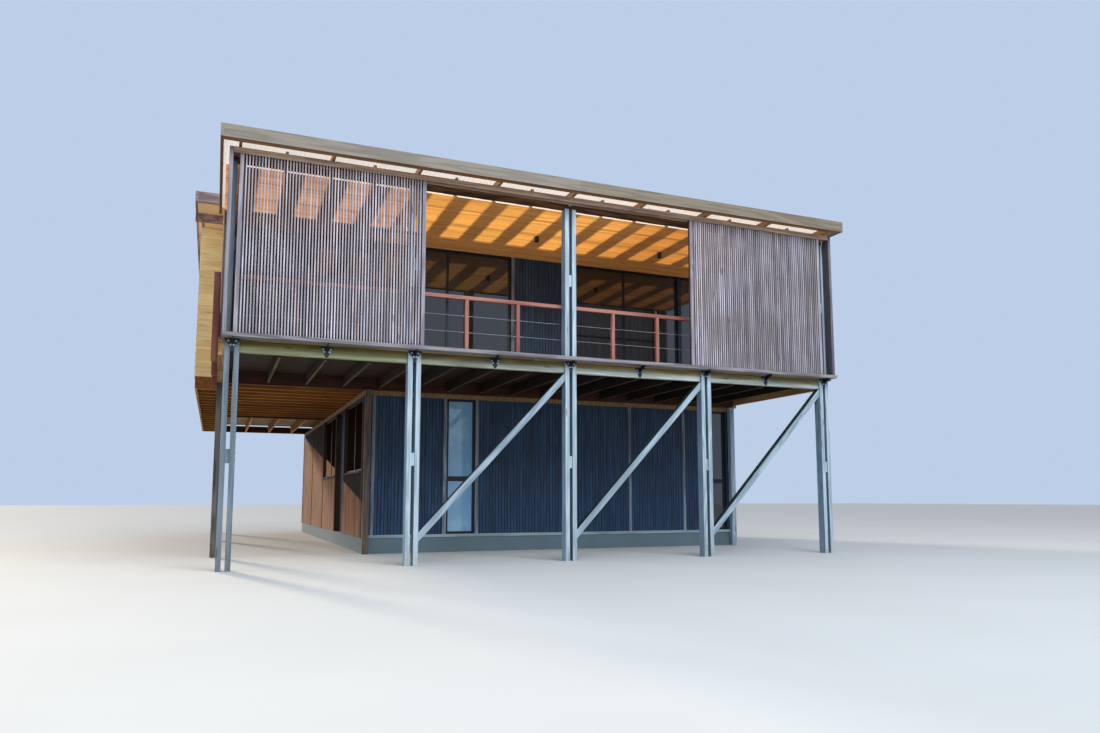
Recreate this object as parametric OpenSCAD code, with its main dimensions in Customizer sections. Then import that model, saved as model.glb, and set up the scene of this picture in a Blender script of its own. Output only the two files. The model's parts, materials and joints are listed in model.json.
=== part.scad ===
// Two storey beach house: a timber post and beam frame, an upper floor behind a
// verandah with sliding slatted screens, and a dark boarded storey beside a carport.

/* [Frame] */
// Distance between the post pairs along the front
bay = 2800; // [2600:50:3000]
// Width of one post timber
post_w = 78; // [70:2:90]
// Gap between the two timbers of a pair
post_gap = 57; // [50:1:70]
// Depth of a post timber, front to back
post_d = 170; // [150:5:190]
// Side of a square carport post
carport_post = 150; // [120:5:160]
// Height of the spacer blocks in the pairs
spacer_h = 210; // [150:10:260]
// Height of the lower spacer block above the ground
low_spacer_z = 1600; // [1200:50:2000]
// Height of the upper spacer block above the ground
high_spacer_z = 4850; // [4500:50:5200]
// Distance from the faces of the posts to their spacer blocks
spacer_inset = 20; // [10:5:40]
// Foot of a brace above the ground
brace_low_z = 370; // [300:10:500]
// Width of a brace
brace_w = 100; // [80:5:120]
// Depth of a brace, front to back
brace_d = 130; // [90:5:140]

/* [Levels] */
// Underside of the main beams
beam_z = 3220; // [3000:20:3400]
// Height of the main beams
beam_h = 240; // [220:10:260]
// Height of the beam between the post pairs
front_beam_h = 175; // [150:5:240]
// Thickness of the deck and floor boards
deck_t = 32; // [24:2:36]
// Underside of the verandah ceiling
ceiling_z = 6280; // [6100:20:6400]
// Height of the roof beam on top of the posts
roof_beam_h = 190; // [150:10:240]
// Height of the rafter ends over the eave
rafter_h = 115; // [90:5:140]
// Top of the ground floor slab
slab_z = 300; // [200:20:400]

/* [Plan] */
// Front of the house wall behind the front of the posts
wall_y = 3200; // [2900:50:3500]
// Line where the joists turn
mid_y = 9900; // [9000:100:10500]
// Back of the house behind the front of the posts
rear_y = 15200; // [14500:100:15800]
// Left face of the ground floor, beside the carport
carport_wall_x = -3050; // [-3200:50:-2900]
// Right face of the ground floor
lower_right_x = 5560; // [5400:20:5700]
// Left face of the wide part of the upper floor
wide_left_x = -6200; // [-6400:50:-6000]
// Front of the wide part of the upper floor
wide_y = 4200; // [3900:50:4500]
// Thickness of the outer walls
wall_t = 140; // [110:5:160]

/* [Joists] */
// Thickness of a joist
joist_t = 45; // [40:1:50]
// Height of a verandah joist
front_joist_h = 200; // [140:10:220]
// Spacing of the joists that run front to back
joist_pitch = 700; // [600:50:700]
// Spacing of the joists that run across
cross_pitch = 600; // [500:50:700]
// Thickness of the beams
beam_t = 90; // [70:5:100]
// Slot between the rear beam and the floor above it
rear_slot = 40; // [20:5:60]

/* [Screens] */
// Distance of the projecting frame's left end inside the side of the deck
frame_in_left = 41.5; // [20:0.5:60]
// Distance of the projecting frame's right end inside the side of the deck
frame_in_right = 11.5; // [0:0.5:60]
// Distance of the left end board from the frame's left end
left_jamb_in = 0; // [0:5:80]
// Distance of the right end board from the frame's right end
right_jamb_in = 50; // [0:5:80]
// Thickness of the frame boards
frame_t = 60; // [45:5:70]
// Distance of the frame's front from the front of the posts
frame_out = 190; // [170:5:210]
// Height of the sill board
sill_h = 62; // [45:1:100]
// Height of the head boards
head_h = 90; // [80:5:150]
// Thickness of the head boards
head_t = 30; // [25:1:35]
// Height of the head boards above the ceiling
head_rise = 60; // [10:5:80]
// Height of the deck above the underside of the sill board
sill_drop = 4; // [2:1:40]
// Clearance between the screens and the head boards
guide_gap = 6; // [5:1:10]
// Clearance over the screens
top_gap = 10; // [8:1:15]
// Width of the left screen
left_screen_w = 2915; // [2800:5:3000]
// Width of the right screen
right_screen_w = 3055; // [2800:5:3100]
// Gap between the left screen and its end board
left_rest_gap = 95; // [20:5:200]
// Gap between the right screen and its end board
right_rest_gap = 210; // [20:10:320]
// Width of a slat
slat_w = 20; // [16:1:30]
// Depth of a slat, front to back
slat_t = 40; // [30:1:44]
// Spacing of the slats
slat_pitch = 46; // [40:1:60]
// Width of the screen stiles
stile_w = 60; // [50:5:70]
// Number of rails in a screen
screen_rails = 4; // [3:1:5]
// Thickness of the screen stiles and rails
screen_rail_t = 34; // [28:1:38]
// Height of the screen rails
screen_rail_h = 45; // [30:5:90]
// Height of the glides under the screens
glide_h = 5; // [4:1:8]
// Running clearance under the glides
glide_gap = 0.3; // [0.2:0.1:0.5]

/* [Roof] */
// Height of the verandah fascia
fascia_h = 205; // [180:5:260]
// Thickness of the fascia and barge boards
fascia_t = 45; // [35:5:50]
// Front of the fascia ahead of the front of the posts
eave_out = 450; // [400:10:500]
// Overhang of the verandah roof past the left side beam
roof_over_left = 93.5; // [60:0.5:140]
// Overhang of the verandah roof past the right side beam
roof_over_right = 43.5; // [40:0.5:140]
// Overhang of the main roof past the right wall
main_over_right = 63.5; // [60:0.5:140]
// Height of the fascia above the roof sheets
fascia_rise = 57; // [30:1:60]
// Thickness of the trimmer behind the fascia
trimmer_t = 90; // [45:5:100]
// Thickness of the roof sheets with their ribs
sheet_t = 18; // [14:1:24]
// Gap between the roof beam and the ceiling behind it
back_gap = 20; // [10:5:80]
// Gap between the verandah's sheets and the fascia of the main roof
upstand = 77; // [60:1:120]
// Height of the main roof's fascia above its sheets
main_rise = 30; // [20:2:50]
// Fall of the main roof to the rear, in degrees
main_pitch = 2.5; // [1.5:0.5:3]
// Overhang of the main roof at the left
main_over = 120; // [100:10:300]
// Overhang of the main roof at the rear
rear_over = 360; // [200:10:500]
// Height of the main rafters
main_rafter_h = 155; // [140:5:220]
// Front of the eave board of the left return behind the front of the posts
eave_board_y = 3860; // [3700:20:4000]
// Height of the eave board of the left return
eave_board_h = 180; // [150:10:240]
// Thickness of the soffits
soffit_t = 12; // [9:1:18]
// Spacing of the main rafters
main_rafter_pitch = 900; // [600:50:900]

/* [Openings] */
// Width of a sliding door leaf
leaf_w = 1400; // [1200:20:1420]
// Left edge of the second door opening
door_b_x = 1350; // [1300:10:1420]
// Right edge of the verandah side light
side_light_x = 5400; // [5300:10:5500]
// Width of the tall windows
window_w = 610; // [500:10:700]
// Left edge of the first tall window
window_a_x = -1385; // [-1450:5:-1300]
// Left edge of the corner window
window_b_x = 4770; // [4700:10:4800]
// Height of the transom in the tall windows
transom_z = 1430; // [1300:10:1600]
// Number of tall windows in the right wall and in the rear wall
tall_windows = 3; // [1:1:4]
// Start of the first carport window behind the front of the wall
carport_window_y = 300; // [250:10:400]
// Width of a carport window
carport_window_w = 2350; // [2000:50:2400]
// Height of the ledge under the carport windows
ledge_z = 1630; // [1400:10:1800]
// Start of the entry behind the front of the wall
entry_y = 2750; // [2700:10:2900]
// Width of the entry
entry_w = 1320; // [1100:10:1400]
// Thickness of the entry door
door_t = 45; // [38:1:50]
// Gap round the entry door
door_gap = 4; // [3:0.5:6]
// Distance from the ends of a carport window to its ledge
ledge_end = 10; // [0:5:50]
// Width of the windows of the upper side walls and rear wall
upper_window_w = 1200; // [900:50:1500]
// Height of the windows of the upper side walls and rear wall
upper_window_h = 1300; // [1000:50:1500]
// Distance of those windows from the top of the rear wall
upper_window_drop = 485; // [400:5:600]
// Number of those windows in each wall
upper_windows = 3; // [1:1:4]
// Width of the black frame members
sash_w = 50; // [40:2:60]
// Thickness of the black frames
sash_t = 60; // [50:2:80]
// Thickness of the glass
glass_t = 20; // [12:1:24]

/* [Walls] */
// Height of the light plates along the front wall's head
plate_h = 95; // [80:5:120]
// Height of the light plates along the front wall's foot
foot_h = 60; // [45:5:80]
// Thickness of plates and battens
batten_t = 20; // [16:1:25]
// Width of a batten
batten_w = 70; // [60:5:80]
// Side of a corner post
corner_w = 115; // [90:5:130]
// Gap between the left corner post and the first batten
corner_gap = 40; // [20:5:60]
// Thickness of the ledges under the carport windows
ledge_t = 40; // [30:5:50]
// Projection of the ledges
ledge_out = 45; // [30:5:60]
// Thickness of the ceilings
ceiling_t = 20; // [12:1:25]

/* [Balustrade] */
// Height of the handrail above the deck
rail_h = 1045; // [1000:5:1100]
// Side of a baluster and height of the handrail
rail_w = 65; // [55:1:75]
// Diameter of the wires
wire_d = 6; // [4:1:8]
// Spacing of the wires below the handrail
wire_pitch = 285; // [100:5:300]
// Number of wires
wire_count = 3; // [2:1:3]
// Gap between the posts and the handrail
rail_gap = 5; // [3:1:10]
// Gap between the side handrails and the house wall
rail_end_gap = 1; // [1:1:10]
// Drop of the left balusters below the side beam
side_post_drop = 70; // [50:5:100]

/* [Brackets] */
// Thickness of the steel plates
steel_t = 8; // [6:1:12]
// Thickness of the steel arms
arm_t = 10; // [8:1:12]
// Height of an arm at the beam
arm_h = 110; // [90:5:140]
// Height of an arm at its tip
arm_tip = 30; // [20:5:40]
// Distance of the tip from the front of the sill board
arm_back = 20; // [10:5:40]
// Width of a bracket on a post pair
post_plate_w = 220; // [180:5:240]
// Height of a bracket on a post pair
post_plate_h = 210; // [180:10:300]
// Width of a bracket at mid bay
mid_plate_w = 210; // [150:5:240]
// Waist of a bracket on a post pair
post_waist_w = 80; // [60:5:120]
// Waist of a bracket at mid bay
mid_waist_w = 130; // [100:5:160]
// Depth of the waist below the sill board
waist_drop = 110; // [90:5:130]
// Width of the foot of a bracket
plate_foot_w = 26; // [20:2:60]
// Height of the upright edges of a bracket
plate_edge_h = 35; // [30:5:80]
// Diameter of a ceiling light
light_d = 90; // [70:5:120]
// Height of a ceiling light
light_h = 110; // [80:5:140]

/* [Hidden] */

pair_w = 2 * post_w + post_gap;
pair_count = 5;
pair_lines = [for (i = [0 : pair_count - 1]) (i - (pair_count - 1) / 2) * bay];
front_half = bay * (pair_count - 1) / 2;
beam_top = beam_z + beam_h;
front_beam_z = beam_top - front_beam_h;
deck_z = beam_top + deck_t;
side_in = front_half + pair_w / 2;
side_out = side_in + beam_t;
beam_y = (post_d - beam_t) / 2;
right_beam_x = side_in - beam_t;
sheet_z = ceiling_z + roof_beam_h + rafter_h;
fascia_z = sheet_z + sheet_t + fascia_rise - fascia_h;
frame_x0 = frame_in_left - side_out;
frame_x1 = side_out - frame_in_right;
fascia_left = -side_out - roof_over_left;
fascia_right = side_out + roof_over_right;
sheet_left = fascia_left + fascia_t;
sheet_right = fascia_right - fascia_t;
head_left = frame_x0 + left_jamb_in + frame_t;
head_right = frame_x1 - right_jamb_in - frame_t;

main_left = wide_left_x - main_over;
main_right = side_out + main_over_right;
main_front_y = wall_y + wall_t - fascia_t;
main_rear = rear_y + rear_over;
main_fascia_z = sheet_z + sheet_t + upstand;
main_top = main_fascia_z + fascia_h - main_rise;
lower_rear_y = rear_y - beam_t;

// The part stands with the middle of its box over the origin.
shift_x = -(main_left + main_right) / 2;
shift_y = -(main_rear + fascia_t - eave_out) / 2;

function roof_under(y) = main_top - sheet_t - (y - main_front_y) * tan(main_pitch);
function wall_top(y) = roof_under(y) - main_rafter_h - joint;
// Places of equal windows that share out a length, in whole millimetres.
function spread(length, count, width) = [for (i = [0 : count - 1])
    round((i + 0.5) * length / count - width / 2)];

cut_over = 1;
joint = 0.5;
window_z0 = slab_z + foot_h;
window_z1 = beam_z - plate_h;
lower_w = lower_right_x - carport_wall_x;
lower_depth = lower_rear_y - wall_y - 2 * wall_t;
entry_start = wall_y + entry_y;
entry_end = entry_start + entry_w;
carport_windows = [wall_y + carport_window_y, entry_end + batten_w];

door_a_x = -3 * leaf_w;
door_b_end = door_b_x + 2 * leaf_w;
side_light_start = door_b_end + batten_w;
upper_window_z1 = wall_top(rear_y) - upper_window_drop;
upper_window_z0 = upper_window_z1 - upper_window_h;
side_windows = [for (y = spread(rear_y - wide_y, upper_windows, upper_window_w)) wide_y + y];
rear_windows = spread(side_out - wide_left_x, upper_windows, upper_window_w);
eave_board_top = wall_top(eave_board_y + fascia_t);
eave_board_z = eave_board_top - eave_board_h;

screen_y = -frame_out + head_t + guide_gap;
screen_t = slat_t + screen_rail_t;
sill_z = deck_z - sill_drop;
sill_top = sill_z + sill_h;
head_z = ceiling_z + head_rise;
head_top = head_z + head_h;

rail_y = post_d + rail_gap;
rail_z = deck_z + rail_h;
rail_end = side_out - rail_w;
side_rail_w = 1.5 * rail_w;
left_rail_x = -side_out - side_rail_w;
right_rail_x = side_out - side_rail_w;
balusters = [for (i = [0 : 3 * (pair_count - 1)]) (i - 1.5 * (pair_count - 1)) * bay / 3];
side_posts = [post_d, (post_d + wall_y) / 2, wall_y - rail_w - rail_end_gap];

module box(x0, x1, y0, y1, z0, z1) {
    translate([x0, y0, z0]) cube([x1 - x0, y1 - y0, z1 - z0]);
}

// A profile drawn in Y and Z and run along X.
module along_x(x0, x1, points) {
    translate([x0, 0, 0]) rotate([90, 0, 90]) linear_extrude(x1 - x0) polygon(points);
}

// A profile drawn in X and Z and run along Y.
module along_y(y0, y1, points) {
    translate([0, y1, 0]) rotate([90, 0, 0]) linear_extrude(y1 - y0) polygon(points);
}

// A slab that follows the fall of the main roof, measured from the roof's underside.
module falling_slab(x0, x1, y0, y1, low, high) {
    along_x(x0, x1, [
        [y0, roof_under(y0) + low], [y1, roof_under(y1) + low],
        [y1, roof_under(y1) + high], [y0, roof_under(y0) + high]]);
}

module placed() {
    translate([shift_x, shift_y, 0]) children();
}

// Both timbers of a post pair.
module pair(x, y0, y1, z0, z1) {
    for (side = [-1, 1])
        translate([x + side * (post_gap + post_w) / 2, 0, 0])
            box(-post_w / 2, post_w / 2, y0, y1, z0, z1);
}

// The five pairs of full height posts with their spacer blocks.
module front_posts() {
    color("#9db0ba") placed() for (x = pair_lines) union() {
        pair(x, 0, post_d, 0, ceiling_z);
        for (z = [low_spacer_z, high_spacer_z])
            box(x - post_gap / 2, x + post_gap / 2, spacer_inset, post_d - spacer_inset,
                z, z + spacer_h);
    }
}

module carport_posts() {
    color("#6d675f") placed() for (y = [wall_y, mid_y, rear_y - carport_post])
        box(-side_out, -side_out + carport_post, y, y + carport_post, 0, beam_z);
}

// Braces lean to the right in the three bays beside the carport.
module braces() {
    run = bay - pair_w;
    rise = front_beam_z - brace_low_z;
    cut = brace_w / cos(atan2(rise, run));
    brace_y = (post_d - brace_d) / 2;
    color("#a9b6bb") placed() for (i = [1 : pair_count - 2]) {
        x0 = pair_lines[i] + pair_w / 2;
        along_y(brace_y, brace_y + brace_d, [
            [x0, brace_low_z], [x0 + run, front_beam_z - cut],
            [x0 + run, front_beam_z], [x0, brace_low_z + cut]]);
    }
}

// One length of beam in each bay, between the post pairs.
module front_beam() {
    color("#a8a878") placed() for (i = [0 : pair_count - 2])
        box(pair_lines[i] + pair_w / 2, pair_lines[i + 1] - pair_w / 2,
            beam_y, beam_y + beam_t, front_beam_z, beam_top);
}

// Beams over the front wall and mid way, and a lower one along the rear.
module cross_beams() {
    color("#a08a5c") placed() {
        for (y = [wall_y - batten_t, mid_y])
            box(-side_in, right_beam_x, y, y + beam_t, beam_z, beam_top);
        box(-side_in, right_beam_x, lower_rear_y, rear_y, beam_z, beam_top - rear_slot);
    }
}

// The left beam passes the posts outside. The right one starts behind them and is lower there.
module side_beams() {
    turn_y = wall_y - batten_t;
    color("#8a7a58") placed() {
        box(-side_out, -side_in, 0, rear_y, beam_z, beam_top);
        union() {
            box(right_beam_x, side_in, post_d, turn_y, front_beam_z, beam_top);
            box(right_beam_x, side_in, turn_y, rear_y, beam_z, beam_top);
        }
    }
}

// Equal joists that run front to back.
module long_joists(y0, y1, height) {
    count = floor((side_in - joist_pitch / 2) / joist_pitch);
    for (i = [-count : count])
        box(i * joist_pitch - joist_t / 2, i * joist_pitch + joist_t / 2,
            y0, y1, beam_top - height, beam_top);
}

// A joist across the strip that widens the floor on the left.
module left_stub(y) {
    box(wide_left_x + joist_t, -side_out, y - joist_t / 2, y + joist_t / 2, beam_z, beam_top);
}

module front_joists() {
    color("#a08a5c") placed() long_joists(beam_y + beam_t, wall_y - batten_t, front_joist_h);
}

// Joists across the house, with stub ends that carry the wide part of the floor.
module middle_joists() {
    first = wall_y - batten_t + beam_t;
    count = floor((mid_y - first) / cross_pitch);
    color("#b08a55") placed() {
        for (i = [1 : count]) {
            y = first + i * (mid_y - first) / (count + 1);
            box(-side_in, right_beam_x, y - joist_t / 2, y + joist_t / 2, beam_z, beam_top);
            if (y - joist_t > wide_y) left_stub(y);
        }
        box(wide_left_x, wide_left_x + joist_t, wide_y, rear_y, beam_z, beam_top);
        box(wide_left_x + joist_t, -side_out, wide_y, wide_y + joist_t, beam_z, beam_top);
    }
}

module rear_joists() {
    stubs = floor((rear_y - mid_y) / cross_pitch);
    color("#a07c4a") placed() {
        long_joists(mid_y + beam_t, lower_rear_y, beam_h);
        for (i = [0 : stubs])
            left_stub(mid_y + joist_t / 2 + i * (rear_y - mid_y - joist_t) / stubs);
    }
}

module deck_boards() {
    color("#8f8068") placed() difference() {
        box(-side_out, side_out, 0, wall_y, beam_top, deck_z);
        for (x = pair_lines) pair(x, -cut_over, post_d, beam_z, deck_z + cut_over);
    }
}

// The floor, with a hairline joint to the strip that widens it on the left.
module upper_floor() {
    color("#9a805c") placed() {
        box(-side_out, side_out, wall_y, rear_y, beam_top, deck_z);
        box(wide_left_x, -side_out - joint, wide_y, rear_y, beam_top, deck_z);
    }
}

module ground_slab() {
    color("#9c9c98") placed()
        box(carport_wall_x, lower_right_x, wall_y, lower_rear_y, 0, slab_z);
}

// A wall that runs along X from 0, with its outer face at Y 0 and tall windows cut through.
module window_wall(length, windows) {
    difference() {
        box(0, length, 0, wall_t, slab_z, beam_z);
        for (x = windows) box(x, x + window_w, -cut_over, wall_t + cut_over, window_z0, window_z1);
    }
}

module lower_front_wall() {
    color("#2b3440") placed() translate([carport_wall_x, wall_y, 0])
        window_wall(lower_w, [window_a_x - carport_wall_x, window_b_x - carport_wall_x]);
}

// The wall beside the carport, with two wide windows and the entry between them.
module carport_wall() {
    x0 = carport_wall_x - cut_over;
    x1 = carport_wall_x + wall_t + cut_over;
    color("#5a4636") placed() difference() {
        box(carport_wall_x, carport_wall_x + wall_t, wall_y + wall_t, lower_rear_y - wall_t,
            slab_z, beam_z);
        for (y = carport_windows) box(x0, x1, y, y + carport_window_w, ledge_z, window_z1);
        box(x0, x1, entry_start, entry_end, slab_z - cut_over, window_z1);
    }
}

module lower_right_wall() {
    color("#2b3440") placed() translate([lower_right_x, wall_y + wall_t, 0]) rotate([0, 0, 90])
        window_wall(lower_depth, spread(lower_depth, tall_windows, window_w));
}

module lower_rear_wall() {
    color("#2b3440") placed() translate([lower_right_x, lower_rear_y, 0]) rotate([0, 0, 180])
        window_wall(lower_w, spread(lower_w, tall_windows, window_w));
}

// Light plates along the head and the foot of the front wall and along the carport wall's head.
module wall_plates() {
    color("#b39b6a") placed() {
        union() {
            box(carport_wall_x - batten_t, lower_right_x, wall_y - batten_t, wall_y,
                window_z1, beam_z);
            box(carport_wall_x - batten_t, carport_wall_x, wall_y, lower_rear_y,
                window_z1, beam_z);
        }
        box(carport_wall_x, lower_right_x, wall_y - batten_t, wall_y, slab_z, window_z0);
    }
}

module corner_posts() {
    color("#8b8074") placed() {
        box(carport_wall_x - batten_t, carport_wall_x + corner_w - batten_t,
            wall_y - batten_t - corner_w, wall_y - batten_t, 0, beam_z);
        box(lower_right_x - corner_w, lower_right_x,
            wall_y - batten_t - corner_w, wall_y - batten_t, 0, beam_z);
    }
}

// Battens stand on the joints of the boards and beside the openings. Two ledges project
// under the carport windows, and one batten stands on the verandah.
module wall_battens() {
    left = carport_wall_x + corner_w - batten_t + corner_gap;
    fronts = [left, window_a_x - batten_w, window_a_x + window_w, bay, 1.5 * bay];
    far = carport_windows[1] + carport_window_w;
    sides = [wall_y + wall_t, entry_end, far, (far + lower_rear_y - batten_w) / 2,
        lower_rear_y - batten_w];
    color("#8a7262") placed() {
        for (x = fronts) box(x, x + batten_w, wall_y - batten_t, wall_y, window_z0, window_z1);
        for (y = sides) box(carport_wall_x - batten_t, carport_wall_x, y, y + batten_w,
            slab_z, window_z1);
        for (y = carport_windows) box(carport_wall_x - ledge_out, carport_wall_x,
            y + ledge_end, y + carport_window_w - ledge_end, ledge_z - ledge_t, ledge_z);
        box(0, batten_w, wall_y - batten_t, wall_y, deck_z, ceiling_z);
    }
}

// Where the panes of a frame start and end, between its upright dividers.
function pane_start(width, dividers, i) = i == 0 ? sash_w : i * width / (dividers + 1) + sash_w / 2;
function pane_end(width, dividers, i) = i == dividers
    ? width - sash_w : (i + 1) * width / (dividers + 1) - sash_w / 2;

// The clear places in a frame, as boxes from y0 to y1. A transom of 0 means none.
module pane_boxes(width, z0, z1, dividers, transom, y0, y1) {
    for (i = [0 : dividers]) {
        x0 = pane_start(width, dividers, i);
        x1 = pane_end(width, dividers, i);
        if (transom > 0) {
            box(x0, x1, y0, y1, z0 + sash_w, transom);
            box(x0, x1, y0, y1, transom + 2 * sash_w, z1 - sash_w);
        } else {
            box(x0, x1, y0, y1, z0 + sash_w, z1 - sash_w);
        }
    }
}

// A black frame that runs along X from 0 in the middle of a wall with its face at Y 0.
module sash(width, z0, z1, dividers, transom) {
    y0 = (wall_t - sash_t) / 2;
    difference() {
        box(0, width, y0, y0 + sash_t, z0, z1);
        pane_boxes(width, z0, z1, dividers, transom, y0 - cut_over, y0 + sash_t + cut_over);
    }
}

// The panes that fill the same frame.
module panes(width, z0, z1, dividers, transom) {
    pane_boxes(width, z0, z1, dividers, transom, (wall_t - glass_t) / 2, (wall_t + glass_t) / 2);
}

module tall_window_places() {
    for (x = [window_a_x, window_b_x]) translate([x, wall_y, 0]) children();
    for (y = spread(lower_depth, tall_windows, window_w))
        translate([lower_right_x, wall_y + wall_t + y, 0]) rotate([0, 0, 90]) children();
    for (x = spread(lower_w, tall_windows, window_w))
        translate([lower_right_x - x, lower_rear_y, 0]) rotate([0, 0, 180]) children();
}

module carport_window_places() {
    for (y = carport_windows)
        translate([carport_wall_x, y + carport_window_w, 0]) rotate([0, 0, -90]) children();
}

module lower_window_frames() {
    color("#1e2126") placed() {
        tall_window_places() sash(window_w, window_z0, window_z1, 0, transom_z);
        carport_window_places() sash(carport_window_w, ledge_z, window_z1, 1, 0);
    }
}

module lower_glass() {
    color("#5c6b74", 0.5) placed() {
        tall_window_places() panes(window_w, window_z0, window_z1, 0, transom_z);
        carport_window_places() panes(carport_window_w, ledge_z, window_z1, 1, 0);
    }
}

// A dark door set back in the entry, between side panels in one frame.
module entry_door() {
    x1 = carport_wall_x + wall_t;
    leaf_z1 = window_z1 - sash_w;
    color("#231d19") placed() {
        difference() {
            box(x1 - sash_t, x1, entry_start, entry_end, slab_z, window_z1);
            box(x1 - sash_t - cut_over, x1 + cut_over, entry_start + sash_w, entry_end - sash_w,
                slab_z - cut_over, leaf_z1);
        }
        box(x1 - door_t, x1, entry_start + sash_w + door_gap, entry_end - sash_w - door_gap,
            slab_z, leaf_z1 - door_gap);
    }
}

module upper_front_wall() {
    color("#232b36") placed() difference() {
        box(-side_out, side_out, wall_y, wall_y + wall_t, deck_z, main_fascia_z);
        for (span = [[door_a_x, 0], [door_b_x, door_b_end], [side_light_start, side_light_x]])
            box(span[0], span[1], wall_y - cut_over, wall_y + wall_t + cut_over,
                deck_z - cut_over, ceiling_z);
    }
}

// A wall along Y whose top follows the roof, with equal windows where it has any.
module side_wall(x, y0, y1, windows) {
    difference() {
        along_x(x, x + wall_t, [
            [y0, deck_z], [y1, deck_z], [y1, wall_top(y1)], [y0, wall_top(y0)]]);
        for (y = windows) box(x - cut_over, x + wall_t + cut_over, y, y + upper_window_w,
            upper_window_z0, upper_window_z1);
    }
}

// Pale boarded side wall, which steps out where the floor is wide.
module upper_left_wall() {
    color("#c9b78e") placed() {
        side_wall(wide_left_x, wide_y + wall_t, rear_y - wall_t, side_windows);
        along_x(wide_left_x, wall_t - side_out, [
            [wide_y, deck_z], [wide_y + wall_t, deck_z],
            [wide_y + wall_t, wall_top(wide_y + wall_t)], [wide_y, wall_top(wide_y)]]);
        side_wall(-side_out, wall_y + wall_t, wide_y, []);
    }
}

module upper_right_wall() {
    color("#232b36") placed()
        side_wall(side_out - wall_t, wall_y + wall_t, rear_y - wall_t, side_windows);
}

module upper_rear_wall() {
    color("#232b36") placed() difference() {
        box(wide_left_x, side_out, rear_y - wall_t, rear_y, deck_z, wall_top(rear_y));
        for (x = rear_windows)
            box(side_out - x - upper_window_w, side_out - x,
                rear_y - wall_t - cut_over, rear_y + cut_over, upper_window_z0, upper_window_z1);
    }
}

module upper_window_places() {
    for (y = side_windows) {
        translate([side_out, y, 0]) rotate([0, 0, 90]) children();
        translate([wide_left_x, y + upper_window_w, 0]) rotate([0, 0, -90]) children();
    }
    for (x = rear_windows)
        translate([side_out - x, rear_y, 0]) rotate([0, 0, 180]) children();
}

// The doors' tracks, jambs and leaves, and the windows of the other sides.
module upper_frames() {
    color("#1e2126") placed() {
        translate([door_a_x, wall_y, 0]) sash(-door_a_x, deck_z, ceiling_z, 2, 0);
        translate([door_b_x, wall_y, 0]) sash(2 * leaf_w, deck_z, ceiling_z, 1, 0);
        translate([side_light_start, wall_y, 0])
            sash(side_light_x - side_light_start, deck_z, ceiling_z, 0, 0);
        upper_window_places() sash(upper_window_w, upper_window_z0, upper_window_z1, 1, 0);
    }
}

module upper_glass() {
    color("#5c6b74", 0.5) placed() {
        translate([door_a_x, wall_y, 0]) panes(-door_a_x, deck_z, ceiling_z, 2, 0);
        translate([door_b_x, wall_y, 0]) panes(2 * leaf_w, deck_z, ceiling_z, 1, 0);
        translate([side_light_start, wall_y, 0])
            panes(side_light_x - side_light_start, deck_z, ceiling_z, 0, 0);
        upper_window_places() panes(upper_window_w, upper_window_z0, upper_window_z1, 1, 0);
    }
}

module verandah_ceiling() {
    color("#c98a48") placed()
        box(-side_out, side_out, post_d + back_gap, wall_y, ceiling_z, ceiling_z + ceiling_t);
}

module roof_beam() {
    color("#7d7a55") placed()
        box(-side_in, side_in, beam_y, beam_y + beam_t, ceiling_z, ceiling_z + roof_beam_h);
}

// Rafters sit on the roof beam. Every second one reaches out to the trimmer behind the fascia,
// with a hairline between them.
module rafters() {
    count = floor(side_out / joist_pitch);
    nose_z = sheet_z - rafter_h;
    trimmer_y = fascia_t - eave_out;
    color("#a8875a") placed() for (i = [-count : count]) {
        nose = abs(i) % 2 == 0 ? trimmer_y + trimmer_t + joint : beam_y + beam_t / 2;
        along_x(i * joist_pitch - joist_t / 2, i * joist_pitch + joist_t / 2, [
            [nose, nose_z], [beam_y + beam_t, nose_z],
            [post_d + back_gap, ceiling_z + ceiling_t], [wall_y, ceiling_z + ceiling_t],
            [wall_y, sheet_z], [nose, sheet_z]]);
    }
    color("#a8875a") placed()
        box(sheet_left, sheet_right, trimmer_y, trimmer_y + trimmer_t, fascia_z, sheet_z);
}

// The front fascia and the barge boards at both ends of the verandah roof.
module fascia() {
    color("#8f9a86") placed() {
        box(fascia_left, fascia_right, -eave_out, fascia_t - eave_out, fascia_z, fascia_z + fascia_h);
        for (x = [fascia_left, sheet_right])
            box(x, x + fascia_t, fascia_t - eave_out, wall_y, fascia_z, fascia_z + fascia_h);
    }
}

// Clear corrugated sheets over the verandah and its eave.
module verandah_roof() {
    color("#e8eef0", 0.5) placed()
        box(sheet_left, sheet_right, fascia_t - eave_out, wall_y, sheet_z, sheet_z + sheet_t);
}

// A sheet a hairline under the main rafters.
module lining(x0, x1, y0, y1, thickness) {
    falling_slab(x0, x1, y0, y1, -main_rafter_h - joint - thickness, -main_rafter_h - joint);
}

// The ceiling of the rooms and the soffits of the overhangs.
module main_ceiling() {
    right = side_out - wall_t;
    edge = main_left + fascia_t;
    color("#d8d2c4") placed() {
        union() {
            lining(-side_out + wall_t, right, wall_y + wall_t, wide_y + wall_t, ceiling_t);
            lining(wide_left_x + wall_t, right, wide_y + wall_t, rear_y - wall_t, ceiling_t);
        }
        lining(edge, -side_out, main_front_y + fascia_t, eave_board_y, soffit_t);
        box(wide_left_x + fascia_t, -side_out, eave_board_y + fascia_t, wide_y,
            eave_board_z, eave_board_z + soffit_t);
        union() {
            lining(edge, wide_left_x, eave_board_y + fascia_t, rear_y, soffit_t);
            lining(edge, main_right - fascia_t, rear_y, main_rear, soffit_t);
            lining(side_out, main_right - fascia_t, main_front_y + fascia_t, rear_y, soffit_t);
        }
    }
}

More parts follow.
